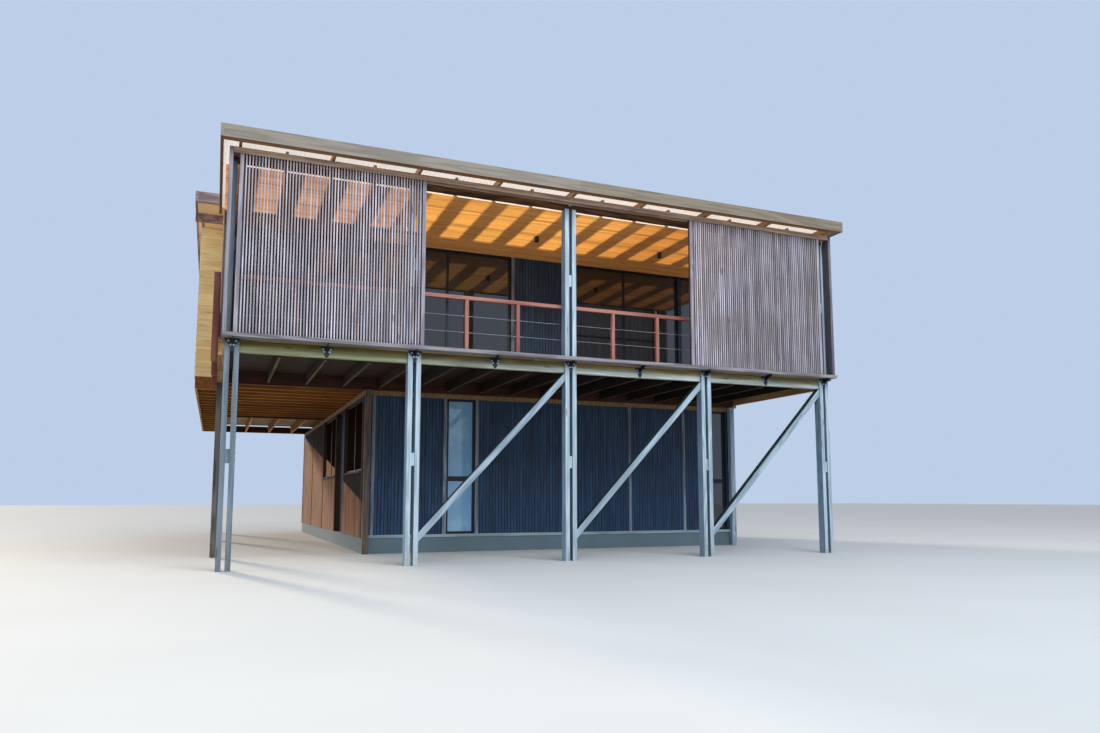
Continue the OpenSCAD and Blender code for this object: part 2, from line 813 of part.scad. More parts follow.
module main_rafters() {
    first = main_left + fascia_t + joist_t / 2;
    last = main_right - fascia_t - joist_t / 2;
    count = ceil((last - first) / main_rafter_pitch);
    color("#b08a55") placed() for (i = [0 : count]) {
        x = first + i * (last - first) / count;
        falling_slab(x - joist_t / 2, x + joist_t / 2, main_front_y + fascia_t, main_rear,
            -main_rafter_h, 0);
    }
}

module main_roof() {
    color("#b9bec0") placed()
        falling_slab(main_left, main_right, main_front_y + fascia_t, main_rear, 0, sheet_t);
}

// Fascias and barges round the main roof, and the eave board over the left return.
module main_fascia() {
    color("#8b857c") placed() {
        box(main_left, main_right, main_front_y, main_front_y + fascia_t,
            main_fascia_z, main_fascia_z + fascia_h);
        box(main_left, main_right, main_rear, main_rear + fascia_t,
            roof_under(main_rear) - main_rafter_h, roof_under(main_rear) + sheet_t);
        for (x = [main_left, main_right - fascia_t])
            falling_slab(x, x + fascia_t, main_front_y + fascia_t, main_rear, -main_rafter_h, 0);
        box(main_left, -side_out, eave_board_y, eave_board_y + fascia_t,
            eave_board_z, eave_board_top);
        box(wide_left_x, wide_left_x + fascia_t, eave_board_y + fascia_t, wide_y,
            eave_board_z, eave_board_top);
    }
}

// The sill board of the projecting frame carries the screens.
module screen_sill() {
    color("#a59c9c") placed()
        box(frame_x0, frame_x1, -frame_out, 0, sill_z, sill_top);
}

// Two head boards with a cap between them, from one end board to the other, guide the tops of
// the screens.
module screen_head() {
    inner_y = screen_y + screen_t + guide_gap;
    color("#8f8078") placed() {
        box(head_left, head_right, -frame_out, -frame_out + head_t, head_z, head_top);
        box(head_left, head_right, inner_y, inner_y + head_t, head_z, head_top);
        box(head_left, head_right, -frame_out + head_t, inner_y, head_top - head_t, head_top);
        for (x = pair_lines) box(x - joist_t / 2, x + joist_t / 2, inner_y + head_t, beam_y,
            head_z, head_top);
    }
}

module screen_jambs() {
    color("#98a3a8") placed() for (x = [head_left - frame_t, head_right])
        box(x, x + frame_t, -frame_out, 0, sill_top, head_top);
}

// A sliding screen: slats in front of rails between two full depth stiles, on glides.
module screen(x0, x1) {
    bottom = sill_top + glide_gap + glide_h;
    top = head_top - head_t - top_gap;
    slat_back = screen_y + slat_t;
    rail_back = slat_back + screen_rail_t;
    inner = x1 - x0 - 2 * stile_w;
    count = floor((inner + slat_w) / slat_pitch) - 1;
    space = (inner - count * slat_w) / (count + 1);
    union() {
        for (i = [1 : count]) {
            x = x0 + stile_w + i * (slat_w + space);
            box(x - slat_w, x, screen_y, slat_back, bottom, top);
        }
        for (x = [x0, x1 - stile_w])
            box(x, x + stile_w, screen_y, rail_back, bottom, top);
        for (i = [0 : screen_rails - 1]) {
            z = bottom + i * (top - screen_rail_h - bottom) / (screen_rails - 1);
            box(x0, x1, slat_back, rail_back, z, z + screen_rail_h);
        }
        for (x = [x0 + stile_w, x1 - 2 * stile_w])
            box(x, x + stile_w, slat_back, rail_back, bottom - glide_h, bottom);
    }
}

module left_screen() {
    start = head_left + left_rest_gap;
    color("#a8a0a8") placed() screen(start, start + left_screen_w);
}

module right_screen() {
    end = head_right - right_rest_gap;
    color("#a8a0a8") placed() screen(end - right_screen_w, end);
}

// A balustrade along one end of the verandah, whose balusters start at foot_z.
module side_balustrade(x0, foot_z) {
    under = rail_z - rail_w;
    box(x0, x0 + side_rail_w, post_d, side_posts[2] + rail_w, under, rail_z);
    for (y = side_posts) box(x0, x0 + side_rail_w, y, y + rail_w, foot_z, under - joint);
}

// Front balustrade behind the posts and one along each end of the verandah: outside the side
// beam at the left and on the deck at the right. Hairline joints part the handrails.
module balustrade() {
    under = rail_z - rail_w;
    color("#a5614c") placed() {
        box(-rail_end, right_rail_x - joint, rail_y, rail_y + rail_w, under, rail_z);
        for (x = balusters)
            box(x - rail_w / 2, x + rail_w / 2, rail_y, rail_y + rail_w, deck_z, under - joint);
        side_balustrade(left_rail_x, beam_z - side_post_drop);
        side_balustrade(right_rail_x, deck_z);
    }
}

module wire(length) {
    cylinder(d = wire_d, h = length, $fn = 16);
}

module balustrade_wires() {
    color("#c9cdd0") placed() for (i = [1 : wire_count]) {
        z = rail_z - rail_w - i * wire_pitch;
        for (n = [0 : len(balusters) - 2])
            translate([balusters[n] + rail_w / 2, rail_y + rail_w / 2, z]) rotate([0, 90, 0])
                wire(balusters[n + 1] - balusters[n] - rail_w);
        for (x = [left_rail_x, right_rail_x]) for (n = [0 : len(side_posts) - 2])
            translate([x + side_rail_w / 2, side_posts[n] + rail_w, z])
                rotate([-90, 0, 0]) wire(side_posts[n + 1] - side_posts[n] - rail_w);
    }
}

// A steel plate with a waist and a narrow foot, and an arm that carries the sill board. The
// arm of a plate behind the deck's edge passes under that edge.
module bracket(x, y, width, waist, foot_z) {
    back = y - steel_t;
    top = back > 0 ? beam_top : sill_z;
    edge = sill_z - plate_edge_h;
    arm_end = back > 0
        ? [[back, sill_z - arm_h], [back, top], [0, top], [0, sill_z]]
        : [[back, sill_z - arm_h], [back, sill_z]];
    union() {
        along_y(back, y, [
            [x - width / 2, top], [x - width / 2, edge], [x - waist / 2, sill_z - waist_drop],
            [x - plate_foot_w / 2, foot_z], [x + plate_foot_w / 2, foot_z],
            [x + waist / 2, sill_z - waist_drop], [x + width / 2, edge], [x + width / 2, top]]);
        along_x(x - arm_t / 2, x + arm_t / 2, concat(arm_end, [
            [arm_back - frame_out, sill_z], [arm_back - frame_out, sill_z - arm_tip]]));
    }
}

// A bracket on each post pair and one on the beam at each mid bay.
module brackets() {
    color("#1d1f22") placed() {
        for (x = pair_lines) bracket(x, 0, post_plate_w, post_waist_w, sill_z - post_plate_h);
        for (i = [0 : pair_count - 2])
            bracket((pair_lines[i] + pair_lines[i + 1]) / 2, beam_y, mid_plate_w, mid_waist_w,
                front_beam_z);
    }
}

module ceiling_lights() {
    color("#1b1b1d") placed() for (i = [1 : pair_count - 2])
        translate([pair_lines[i], (post_d + wall_y) / 2, ceiling_z - light_h])
            cylinder(d = light_d, h = light_h, $fn = 32);
}

front_posts();
carport_posts();
braces();
front_beam();
cross_beams();
side_beams();
front_joists();
middle_joists();
rear_joists();
deck_boards();
upper_floor();
ground_slab();
lower_front_wall();
carport_wall();
lower_right_wall();
lower_rear_wall();
wall_plates();
corner_posts();
wall_battens();
lower_window_frames();
lower_glass();
entry_door();
upper_front_wall();
upper_left_wall();
upper_right_wall();
upper_rear_wall();
upper_frames();
upper_glass();
verandah_ceiling();
roof_beam();
rafters();
fascia();
verandah_roof();
main_ceiling();
main_rafters();
main_roof();
main_fascia();
screen_sill();
screen_head();
screen_jambs();
left_screen();
right_screen();
balustrade();
balustrade_wires();
brackets();
ceiling_lights();
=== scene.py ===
"""The looks of a two storey timber beach house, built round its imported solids."""

import json
import math

import bmesh
import bpy
import numpy as np
from mathutils import Matrix, Vector

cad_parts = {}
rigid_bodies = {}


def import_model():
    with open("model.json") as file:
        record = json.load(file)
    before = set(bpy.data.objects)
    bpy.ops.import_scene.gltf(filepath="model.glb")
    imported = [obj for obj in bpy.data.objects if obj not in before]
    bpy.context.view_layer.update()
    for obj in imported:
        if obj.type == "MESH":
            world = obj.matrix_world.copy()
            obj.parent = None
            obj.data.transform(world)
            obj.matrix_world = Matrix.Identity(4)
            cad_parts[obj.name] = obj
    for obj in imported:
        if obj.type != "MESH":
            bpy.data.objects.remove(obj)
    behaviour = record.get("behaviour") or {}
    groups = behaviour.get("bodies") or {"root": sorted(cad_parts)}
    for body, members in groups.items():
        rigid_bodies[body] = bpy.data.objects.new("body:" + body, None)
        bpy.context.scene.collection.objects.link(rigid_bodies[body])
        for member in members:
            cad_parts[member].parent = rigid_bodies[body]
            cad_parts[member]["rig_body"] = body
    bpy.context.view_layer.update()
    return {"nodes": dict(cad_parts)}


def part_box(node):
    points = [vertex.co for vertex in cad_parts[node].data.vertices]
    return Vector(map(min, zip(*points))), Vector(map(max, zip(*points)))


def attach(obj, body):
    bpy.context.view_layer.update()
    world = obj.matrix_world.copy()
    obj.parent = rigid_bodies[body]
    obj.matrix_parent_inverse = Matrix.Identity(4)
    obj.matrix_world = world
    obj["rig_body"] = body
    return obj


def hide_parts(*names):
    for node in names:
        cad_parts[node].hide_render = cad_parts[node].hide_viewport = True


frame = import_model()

# Places in the house's own frame: X from the middle post pair, Y from the front of the posts.
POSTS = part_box("front_posts")
MIDDLE_X = (POSTS[0].x + POSTS[1].x) / 2
FRONT_Y = POSTS[0].y
HOUSE = Vector((MIDDLE_X, FRONT_Y, 0))


def house_box(node):
    """A node's lowest and highest corners in the house's own frame."""
    low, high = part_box(node)
    return low - HOUSE, high - HOUSE


# Sizes that the solids have, in metres.
BAY = 2.8
PAIR_LINES = [BAY * i for i in range(-2, 3)]
POST_W, POST_D, POST_GAP = 0.078, 0.17, 0.057
POST_REACH = (POST_W + POST_GAP) / 2
BEAM_T = 0.09
JOIST_PITCH = 0.7
WALL_Y, WALL_T = 3.2, 0.14
SIDE_OUT = PAIR_LINES[-1] + POST_REACH + POST_W / 2 + BEAM_T
WIDE_X, WIDE_Y = -6.2, 4.2
REAR_Y = 15.2
LOWER_REAR_Y = REAR_Y - BEAM_T
LOWER_LEFT_X, LOWER_RIGHT_X = -3.05, 5.56
LOWER_W = LOWER_RIGHT_X - LOWER_LEFT_X
SLAB_Z, FOOT_H = 0.3, 0.06
FOOT_Z = SLAB_Z + FOOT_H
BEAM_Z, BEAM_TOP, PLATE_H = 3.22, 3.46, 0.095
PLATE_Z = BEAM_Z - PLATE_H
DECK_T, SILL_DROP = 0.032, 0.004
DECK_Z = BEAM_TOP + DECK_T
SILL_Z = DECK_Z - SILL_DROP
CEILING_Z = 6.28
MAIN_FRONT_Y, MAIN_UNDER_Z = 3.295, 6.852
MAIN_FALL = math.radians(2.5)
RAFTER_H = 0.1555

# Windows, doors and battens, with the X or Y at which each starts. UPPER_WINDOW is a width,
# a foot and a top, and ENTRY a start and an end.
TALL_WINDOW_W = 0.61
TALL_WINDOWS = (-1.385, 4.77)
UPPER_WINDOW = (1.2, 4.392, 5.692)
LEDGE_Z = 1.59
CARPORT_WINDOW_W = 2.35
CARPORT_WINDOWS = (3.5, 7.34)
ENTRY = (5.95, 7.27)
LEAF_W = 1.4
RIGHT_DOORS_X, SIDE_LIGHT_END = 1.35, 5.4
BATTEN_W = 0.07
FRONT_BATTENS = (-2.915, -1.455, -0.775, 2.8, 4.2)

# Fittings.
SPACERS_Z, SPACER_H = (1.6, 4.85), 0.21
STEEL_T = 0.008
RAIL_W, RAIL_GAP, WIRE_PITCH = 0.065, 0.005, 0.285
LIGHT_D = 0.09
SLAT_W, SLAT_T, SLAT_PITCH = 0.02, 0.04, 0.046
STILE_W, RAIL_H, RAIL_T, GLIDE_H = 0.06, 0.045, 0.034, 0.005

# Sizes of what is made here. Boards under the least width or height are left out, and a
# fascia is sawn at CORNER_CUT from both ends.
BOARD_T, BOARD_GAP, LEAST_BOARD, LEAST_H = 0.009, 0.001, 0.012, 0.03
DARK_PITCH = 0.068
PITCHES = {"dark_boards": DARK_PITCH, "brown_boards": 0.09}
FINE_EDGE, SLAT_EDGE, SAWN_EDGE = 0.0015, 0.002, 0.003
CORNER_CUT = 0.047


def openings(length, width, foot, top, shift=0):
    """Three equal windows that share out a length, as (start, end, foot, top)."""
    starts = [round((i + 0.5) * length / 3 - width / 2, 3) + shift for i in range(3)]
    return [(start, start + width, foot, top) for start in starts]


def wall_top(y):
    """Height of the wall under the main rafters."""
    return MAIN_UNDER_Z - (y - MAIN_FRONT_Y) * math.tan(MAIN_FALL) - RAFTER_H


# Nodes of shader and geometry trees.

def fill(tree, node, inputs):
    """Links or fills the inputs of a node."""
    for key, value in inputs.items():
        if isinstance(value, bpy.types.NodeSocket):
            tree.links.new(value, node.inputs[key])
        else:
            node.inputs[key].default_value = value


def put(tree, kind, inputs=None, **settings):
    """Adds a node, sets it up and links or fills its inputs."""
    node = tree.nodes.new(kind)
    for key, value in settings.items():
        setattr(node, key, value)
    fill(tree, node, inputs or {})
    return node


def new_tree(name, kind, inputs, outputs):
    """A node group with named inputs and outputs, what it is given and its last node."""
    tree = bpy.data.node_groups.new(name, kind)
    for way, sockets in (("INPUT", inputs), ("OUTPUT", outputs)):
        for label, socket in sockets.items():
            tree.interface.new_socket(label, in_out=way, socket_type=socket)
    return tree, put(tree, "NodeGroupInput").outputs, put(tree, "NodeGroupOutput")


def calc(tree, operation, a, b=0.0, c=0.0):
    """One step of arithmetic."""
    return put(tree, "ShaderNodeMath", {0: a, 1: b, 2: c}, operation=operation).outputs[0]


def times(tree, result, *factors):
    """A number multiplied by others in turn."""
    for factor in factors:
        result = calc(tree, "MULTIPLY", result, factor)
    return result


def scaled(tree, vector, factors):
    """A vector multiplied by three factors."""
    return put(tree, "ShaderNodeVectorMath", {0: vector, 1: factors},
               operation="MULTIPLY").outputs[0]


def part(tree, vector, axis):
    """One part of a vector."""
    return put(tree, "ShaderNodeSeparateXYZ", {0: vector}).outputs[axis]


def noise(tree, vector, detail=2.0, roughness=0.5, scale=1.0):
    """Soft noise between 0 and 1."""
    return put(tree, "ShaderNodeTexNoise", {
        "Vector": vector, "Scale": scale, "Detail": detail, "Roughness": roughness,
    }).outputs["Fac"]


def smooth(tree, value, low, high, start=0.0, end=1.0):
    """A soft step of a value from low to high."""
    return put(tree, "ShaderNodeMapRange", {
        "Value": value, "From Min": low, "From Max": high, "To Min": start, "To Max": end,
    }, interpolation_type="SMOOTHSTEP").outputs["Result"]


def colour(text):
    """A linear colour from its usual six digits."""
    parts = [int(text[i:i + 2], 16) / 255 for i in (0, 2, 4)]
    return [p / 12.92 if p <= 0.04045 else ((p + 0.055) / 1.055) ** 2.4 for p in parts] + [1.0]


def blend(tree, share, first, second, way="MIX"):
    """Two colours mixed by a share. Each is a socket or six digits."""
    first, second = (colour(c) if isinstance(c, str) else c for c in (first, second))
    return put(tree, "ShaderNodeMix", {0: share, 6: first, 7: second},
               data_type="RGBA", blend_type=way).outputs[2]


# Shader groups.

NUMBER, VECTOR = "NodeSocketFloat", "NodeSocketVector"


def make_timber_figure():
    """Growth lines, fine fibre and knots of a sawn board whose length runs along X."""
    tree, given, result = new_tree(
        "timber_figure", "ShaderNodeTree",
        {"Vector": VECTOR, "Line Count": NUMBER, "Knot Size": NUMBER},
        {"Figure": NUMBER, "Fibre": NUMBER, "Knots": NUMBER})
    along = given["Vector"]
    field = noise(tree, scaled(tree, along, (0.55, 7.0, 7.0)), 2.5, 0.45)
    lines = calc(tree, "SINE", times(tree, field, given["Line Count"]))
    fibre = noise(tree, scaled(tree, along, (3.0, 130.0, 130.0)), 4.0, 0.65)
    streaks = noise(tree, scaled(tree, along, (0.8, 38.0, 38.0)), 3.0, 0.6)
    cells = put(tree, "ShaderNodeTexVoronoi", {
        "Vector": scaled(tree, along, (1.3, 8.5, 8.5)), "Scale": 1.0}).outputs["Distance"]
    rim = calc(tree, "MULTIPLY_ADD", fibre, 0.05, cells)
    fill(tree, result, {
        "Figure": calc(tree, "MULTIPLY_ADD", lines, 0.22, streaks), "Fibre": fibre,
        "Knots": smooth(tree, calc(tree, "DIVIDE", rim, given["Knot Size"]), 1.0, 0.55)})
    return tree


def make_weather():
    """Broad stains, streaks left by running rain, and splashes near the ground."""
    tree, given, result = new_tree(
        "weather", "ShaderNodeTree", {"Vector": VECTOR, "Splash Height": NUMBER},
        {"Stain": NUMBER, "Streaks": NUMBER, "Splash": NUMBER})
    place = given["Vector"]
    run = noise(tree, scaled(tree, place, (9.0, 9.0, 0.45)), 3.0, 0.55)
    height = calc(tree, "DIVIDE", part(tree, place, "Z"), given["Splash Height"])
    spots = smooth(tree, noise(tree, place, 5.0, 0.7, 7.0), 0.3, 0.7)
    fill(tree, result, {
        "Stain": smooth(tree, noise(tree, place, 4.0, 0.55, 0.8), 0.38, 0.64),
        "Streaks": smooth(tree, run, 0.42, 0.7),
        "Splash": times(tree, smooth(tree, height, 1.0, 0.0), spots)})
    return tree


TIMBER_FIGURE = make_timber_figure()
WEATHER = make_weather()


def use_group(tree, group, inputs):
    """Places a shader group with its own values."""
    return put(tree, "ShaderNodeGroup", inputs, node_tree=group).outputs


# Materials.

# Painted sunlight and shade beside the carport: the wall is lit below a line that rises towards
# the rear, and is painted in shade above it.
SHADE = (0.0, -0.178, 1.0)
SHADE_LINE = 0.41
# The turns that let grain run upwards or along X.
UPRIGHT, LEVEL = (0.0, math.pi / 2, 0.0), (0.0, 0.0, 0.0)


def start_material(name):
    """A material with a plain shader, and its tree, its shader and the place in the object."""
    material = bpy.data.materials.new(name)
    material.use_nodes = True
    tree = material.node_tree
    tree.nodes.clear()
    shader = put(tree, "ShaderNodeBsdfPrincipled")
    put(tree, "ShaderNodeOutputMaterial", {"Surface": shader.outputs["BSDF"]})
    return material, tree, shader, put(tree, "ShaderNodeTexCoord").outputs["Object"]


def attribute(tree, name, output="Fac"):
    """A value that the mesh stores."""
    return put(tree, "ShaderNodeAttribute", attribute_name=name).outputs[output]


def from_house(tree, place):
    """A place in the house's own frame."""
    return put(tree, "ShaderNodeVectorMath", {0: place, 1: HOUSE},
               operation="SUBTRACT").outputs[0]


def facing(tree, axis, sign):
    """1 where the surface faces along an axis, either way when the sign is 0."""
    towards = part(tree, put(tree, "ShaderNodeTexCoord").outputs["Normal"], axis)
    towards = times(tree, towards, sign) if sign else calc(tree, "ABSOLUTE", towards)
    return smooth(tree, towards, 0.4, 0.8)


def tinted(tree, place, base, tints=(), fades=()):
    """A colour darkened by tints: (axes, sign, tint) by facing, (axis, from, to, tint) by place
    in the house's frame. Most tints and fades paint light and shade. The axis of a place is a
    letter, or a direction as three numbers."""
    for axes, sign, tint in tints:
        for axis in axes:
            base = blend(tree, facing(tree, axis, sign), base, tint, "MULTIPLY")
    for axis, start, end, tint in fades:
        own = from_house(tree, place)
        if isinstance(axis, str):
            reach = part(tree, own, axis)
        else:
            reach = put(tree, "ShaderNodeVectorMath", {0: own, 1: axis},
                        operation="DOT_PRODUCT").outputs["Value"]
        base = blend(tree, smooth(tree, reach, start, end), base, tint, "MULTIPLY")
    return base


def toned(tree, base, tone, spread, start):
    """A colour made lighter or darker by the tone of its piece."""
    value = calc(tree, "MULTIPLY_ADD", tone, spread, start)
    return put(tree, "ShaderNodeHueSaturation",
               {"Value": value, "Color": base}).outputs["Color"]


def raise_surface(tree, shader, height, depth):
    """Turns a height between 0 and 1 into relief, depth in metres."""
    bump = put(tree, "ShaderNodeBump", {"Height": height, "Distance": depth})
    fill(tree, shader, {"Normal": bump.outputs["Normal"]})


def timber(name, dark, light, knot="", stain="", stain_share=0.35, lines=30.0, relief=0.0012,
           roughness=(0.62, 0.85), spread=0.3, knots=0.16, splash=0.0, turn=None, tints=(),
           fades=()):
    """Sawn timber. It follows the grain of a dressed piece, or its own place, turned. Most of
    its tints and fades are painted light and shade.
    """
    material, tree, shader, place = start_material(name)
    if turn is None:
        along = attribute(tree, "grain", "Vector")
        tone = attribute(tree, "tone")
    else:
        along = put(tree, "ShaderNodeMapping", {"Vector": place, "Rotation": turn}).outputs[0]
        tone = noise(tree, place, 1.0, 0.5, 0.6)
    figure = use_group(tree, TIMBER_FIGURE, {
        "Vector": along, "Line Count": lines, "Knot Size": knots})
    weather = use_group(tree, WEATHER, {"Vector": place, "Splash Height": 0.7})
    fibre = figure["Fibre"]
    grain = smooth(tree, figure["Figure"], 0.22, 0.78)
    base = blend(tree, grain, dark, light)
    base = blend(tree, times(tree, fibre, 0.35), base, dark, "MULTIPLY")
    if stain:
        base = blend(tree, times(tree, weather["Stain"], stain_share), base, stain)
        base = blend(tree, times(tree, weather["Streaks"], stain_share * 0.6), base, dark)
    if knot:
        base = blend(tree, times(tree, figure["Knots"], 0.75), base, knot)
    if splash:
        base = blend(tree, times(tree, weather["Splash"], splash), base, "8d8578")
    base = tinted(tree, place, base, tints, fades)
    fill(tree, shader, {
        "Base Color": toned(tree, base, tone, spread, 1.0 - spread / 2),
        "Roughness": smooth(tree, fibre, 0.3, 0.7, *roughness), "Specular IOR Level": 0.35})
    height = calc(tree, "MULTIPLY_ADD", fibre, 0.5, times(tree, grain, 0.5))
    raise_surface(tree, shader, height, relief)
    return material


def dark_timber(name, tints=()):
    """Boards with a dark blue stain; painted light makes them bluer towards the ground."""
    return timber(name, "22364c", "314b66", "15181d", "2b3a4a", 0.25, roughness=(0.42, 0.62),
                  spread=0.28, splash=0.1, tints=tints,
                  fades=[("Z", 2.6, 1.0, "c4ecff")])


def ceiling_timber():
    """Oiled ceiling boards with painted sunlight, an emission that glows where the light comes
    through between the rafters, and painted shade behind the left screen.
    """
    material, tree, shader, place = start_material("ceiling_timber")
    band_shift, batten_pitch = 0.14, 0.8
    x, depth = (part(tree, from_house(tree, place), axis) for axis in "XY")
    tone = attribute(tree, "tone")
    figure = use_group(tree, TIMBER_FIGURE, {
        "Vector": attribute(tree, "grain", "Vector"), "Line Count": 26.0, "Knot Size": 0.13})
    grain = smooth(tree, figure["Figure"], 0.25, 0.75)
    # Painted shade: behind the left screen it is darker.
    behind = smooth(tree, x, -2.6, -2.9)
    base = blend(tree, grain, "a9713a", "c98d50")
    base = blend(tree, times(tree, figure["Knots"], 0.6), base, "6b3f1c")
    base = blend(tree, behind, base, "8a7c80", "MULTIPLY")
    # Bands of light between the shadows of the rafters and of two battens.
    turn = 2 * math.pi / JOIST_PITCH
    across = calc(tree, "MULTIPLY_ADD", x, turn, -band_shift * turn)
    wave = calc(tree, "MULTIPLY_ADD", calc(tree, "COSINE", across), -1.0, 0.13)
    wobble = calc(tree, "MULTIPLY_ADD", noise(tree, place, 2.0, 0.5, 2.5), 0.5, -0.25)
    reach = times(tree, smooth(tree, depth, 2.5, 2.36), smooth(tree, depth, 0.1, 0.9, 0.7, 1.0))
    from_batten = calc(tree, "PINGPONG", depth, batten_pitch / 2)
    glow = times(tree, smooth(tree, calc(tree, "ADD", wave, wobble), -0.35, 0.35), reach,
                 smooth(tree, from_batten, 0.015, 0.07, 0.45, 1.0),
                 calc(tree, "MULTIPLY_ADD", tone, 0.35, 0.72),
                 smooth(tree, grain, 0.0, 1.0, 0.85, 1.05))
    lit = blend(tree, glow, "60401f", "f8ab50")
    lit = blend(tree, behind, lit, blend(tree, glow, "1c1418", "dc9a68"))
    # The painted light is dimmer towards the right.
    lit = blend(tree, smooth(tree, x, 0.3, 2.6), lit, "dccfc8", "MULTIPLY")
    # A painted highlight: the front edge is brightest, between the rafters.
    rafter = calc(tree, "PINGPONG", x, JOIST_PITCH / 2)
    edge = times(tree, facing(tree, "Y", -1), smooth(tree, depth, 0.215, 0.2),
                 smooth(tree, rafter, 0.03, 0.045))
    fill(tree, shader, {
        "Base Color": toned(tree, base, tone, 0.35, 0.82), "Roughness": 0.5,
        "Emission Color": blend(tree, edge, lit, "fff0dc"), "Emission Strength": 1.0})
    raise_surface(tree, shader, figure["Fibre"], 0.0006)
    return material


def concrete():
    """Cast concrete with pores and pale patches."""
    material, tree, shader, place = start_material("cast_concrete")
    cloud = noise(tree, place, 5.0, 0.6, 1.4)
    pores = put(tree, "ShaderNodeTexVoronoi", {"Vector": place, "Scale": 55.0})
    pit = smooth(tree, pores.outputs["Distance"], 0.16, 0.05)
    base = blend(tree, cloud, "4f6064", "6d8085")
    fill(tree, shader, {"Base Color": blend(tree, times(tree, pit, 0.6), base, "5a5854"),
                        "Roughness": smooth(tree, cloud, 0.3, 0.7, 0.75, 0.92)})
    raise_surface(tree, shader, calc(tree, "SUBTRACT", cloud, pit), 0.002)
    return material


def metal(name, dark, light, roughness, metallic, scale=(6.0, 6.0, 6.0)):
    """Painted, coated or bare metal with faint clouding."""
    material, tree, shader, place = start_material(name)
    cloud = noise(tree, scaled(tree, place, scale), 4.0, 0.6)
    fill(tree, shader, {
        "Base Color": blend(tree, smooth(tree, cloud, 0.3, 0.7), dark, light),
        "Roughness": smooth(tree, cloud, 0.25, 0.75, *roughness), "Metallic": metallic})
    raise_surface(tree, shader, noise(tree, place, 3.0, 0.6, 320.0), 0.0002)
    return material


def roof_steel():
    """Galvanised sheet with spangle and run marks down the fall."""
    material, tree, shader, place = start_material("zinc_sheet")
    spangle = put(tree, "ShaderNodeTexVoronoi", {"Vector": place, "Scale": 70.0})
    runs = noise(tree, scaled(tree, place, (14.0, 0.5, 14.0)), 4.0, 0.6)
    base = blend(tree, runs, "8b9194", "bcc1c3")
    fill(tree, shader, {
        "Base Color": blend(tree, 0.1, base, spangle.outputs["Color"], "OVERLAY"),
        "Roughness": smooth(tree, runs, 0.3, 0.7, 0.32, 0.55), "Metallic": 0.75})
    raise_surface(tree, shader, runs, 0.0004)
    return material


def window_glass(name, dark, light, bending, gloss=0.5, clear=0.55, fades=()):
    """Clear glass with a faint film of dust, in the colours it is given; its fades paint shade
    on it.
    """
    material, tree, shader, place = start_material(name)
    film = noise(tree, place, 5.0, 0.65, 2.2)
    base = blend(tree, smooth(tree, film, 0.4, 0.8), dark, light)
    fill(tree, shader, {"Base Color": tinted(tree, place, base, fades=fades),
                        "Roughness": smooth(tree, film, 0.4, 0.9, 0.02, 0.09),
                        "IOR": bending, "Specular IOR Level": gloss})
    shader.inputs["Metallic"].default_value = 0.0
    shader.inputs["Transmission Weight"].default_value = clear
    return material


def clear_sheet():
    """Clear ribbed plastic, a little milky and dusty, with a painted glow of sunlight on its
    underside.
    """
    material, tree, shader, place = start_material("clear_plastic")
    dust = noise(tree, scaled(tree, place, (3.0, 0.8, 3.0)), 5.0, 0.6)
    glow = blend(tree, dust, "fff6e6", "fff1d8")
    fill(tree, shader, {
        "Base Color": blend(tree, dust, "f4f6f4", "e6e4da"),
        "Alpha": smooth(tree, dust, 0.3, 0.8, 0.45, 0.62),
        "Roughness": smooth(tree, dust, 0.3, 0.8, 0.12, 0.3),
        "Emission Color": blend(tree, facing(tree, "Z", -1), "000000", glow),
        "Emission Strength": 0.55})
    return material


# Finishes by slot. The colours of a timber are dark, light, knots and stain.
FINISHES = {
    # Painted shade on the undersides of the deck boards.
    "deck_timber": timber("deck_boards", "6f6148", "a08d6c", "4a3b28", "5f5a50",
                          tints=[("Z", -1, "623d1a")]),
    "trim_timber": timber("brown_trim", "6d5a50", "957f70", "4a3a30", "6f6a66", splash=0.4),
    # The slats towards the right are painted in shade.
    "slat_timber": timber("slats", "a89da3", "d5cbd1", "6a5a52", "93806f", 0.45,
                          spread=0.5, relief=0.0006,
                          fades=[("X", 2.6, 4.2, "dee2e4")]),
    "dark_boards": dark_timber("dark_boards"),
    # Painted shade on the boards' sides that face along the wall, and above the slanting
    # SHADE_LINE.
    "brown_boards": timber("brown_boards", "7d5640", "b88058", "35211a", "77543c",
                           roughness=(0.85, 0.98), spread=0.5, splash=0.3,
                           tints=[("Y", 0, "504840")],
                           fades=[(SHADE, SHADE_LINE - 0.02, SHADE_LINE + 0.03, "3a302c")]),
    "pale_boards": timber("pale_boards", "dabd88", "efd8a5", "b09464", "d1b784", 0.25,
                          spread=0.15),
    "ceiling_boards": ceiling_timber(),
    "concrete": concrete(),
    "black_aluminium": metal("black_frames", "15181b", "202428", (0.32, 0.45), 0.3),
    "black_steel": metal("black_brackets", "131416", "222427", (0.4, 0.6), 0.2),
    "steel_wire": metal("stainless_wire", "85898c", "a6aaad", (0.4, 0.55), 0.35),
    "roof_steel": roof_steel(),
    "window_glass": window_glass("dark_glass", "3a3836", "484644", 1.85),
    "clear_sheet": clear_sheet(),
}
SAWN_TIMBER = timber("sawn_joists", "8a6337", "c39a62", "5a3a1c", "7a5a38")
# Painted shade on the sides of the front boards that face along X.
FRONT_BOARDS = dark_timber("front_boards", [("X", 0, "303438")])
DARK_SUBSTRATE = timber("dark_substrate", "14181e", "262c34", turn=UPRIGHT)
BROWN_SUBSTRATE = timber("brown_substrate", "281a12", "4a3325", turn=UPRIGHT)
PALE_SUBSTRATE = timber("pale_substrate", "9b8c70", "bfb190", turn=LEVEL)
FLOOR_SHEET = timber("floor_sheet", "8a6f48", "bf9f6e", turn=LEVEL, knots=0.1)
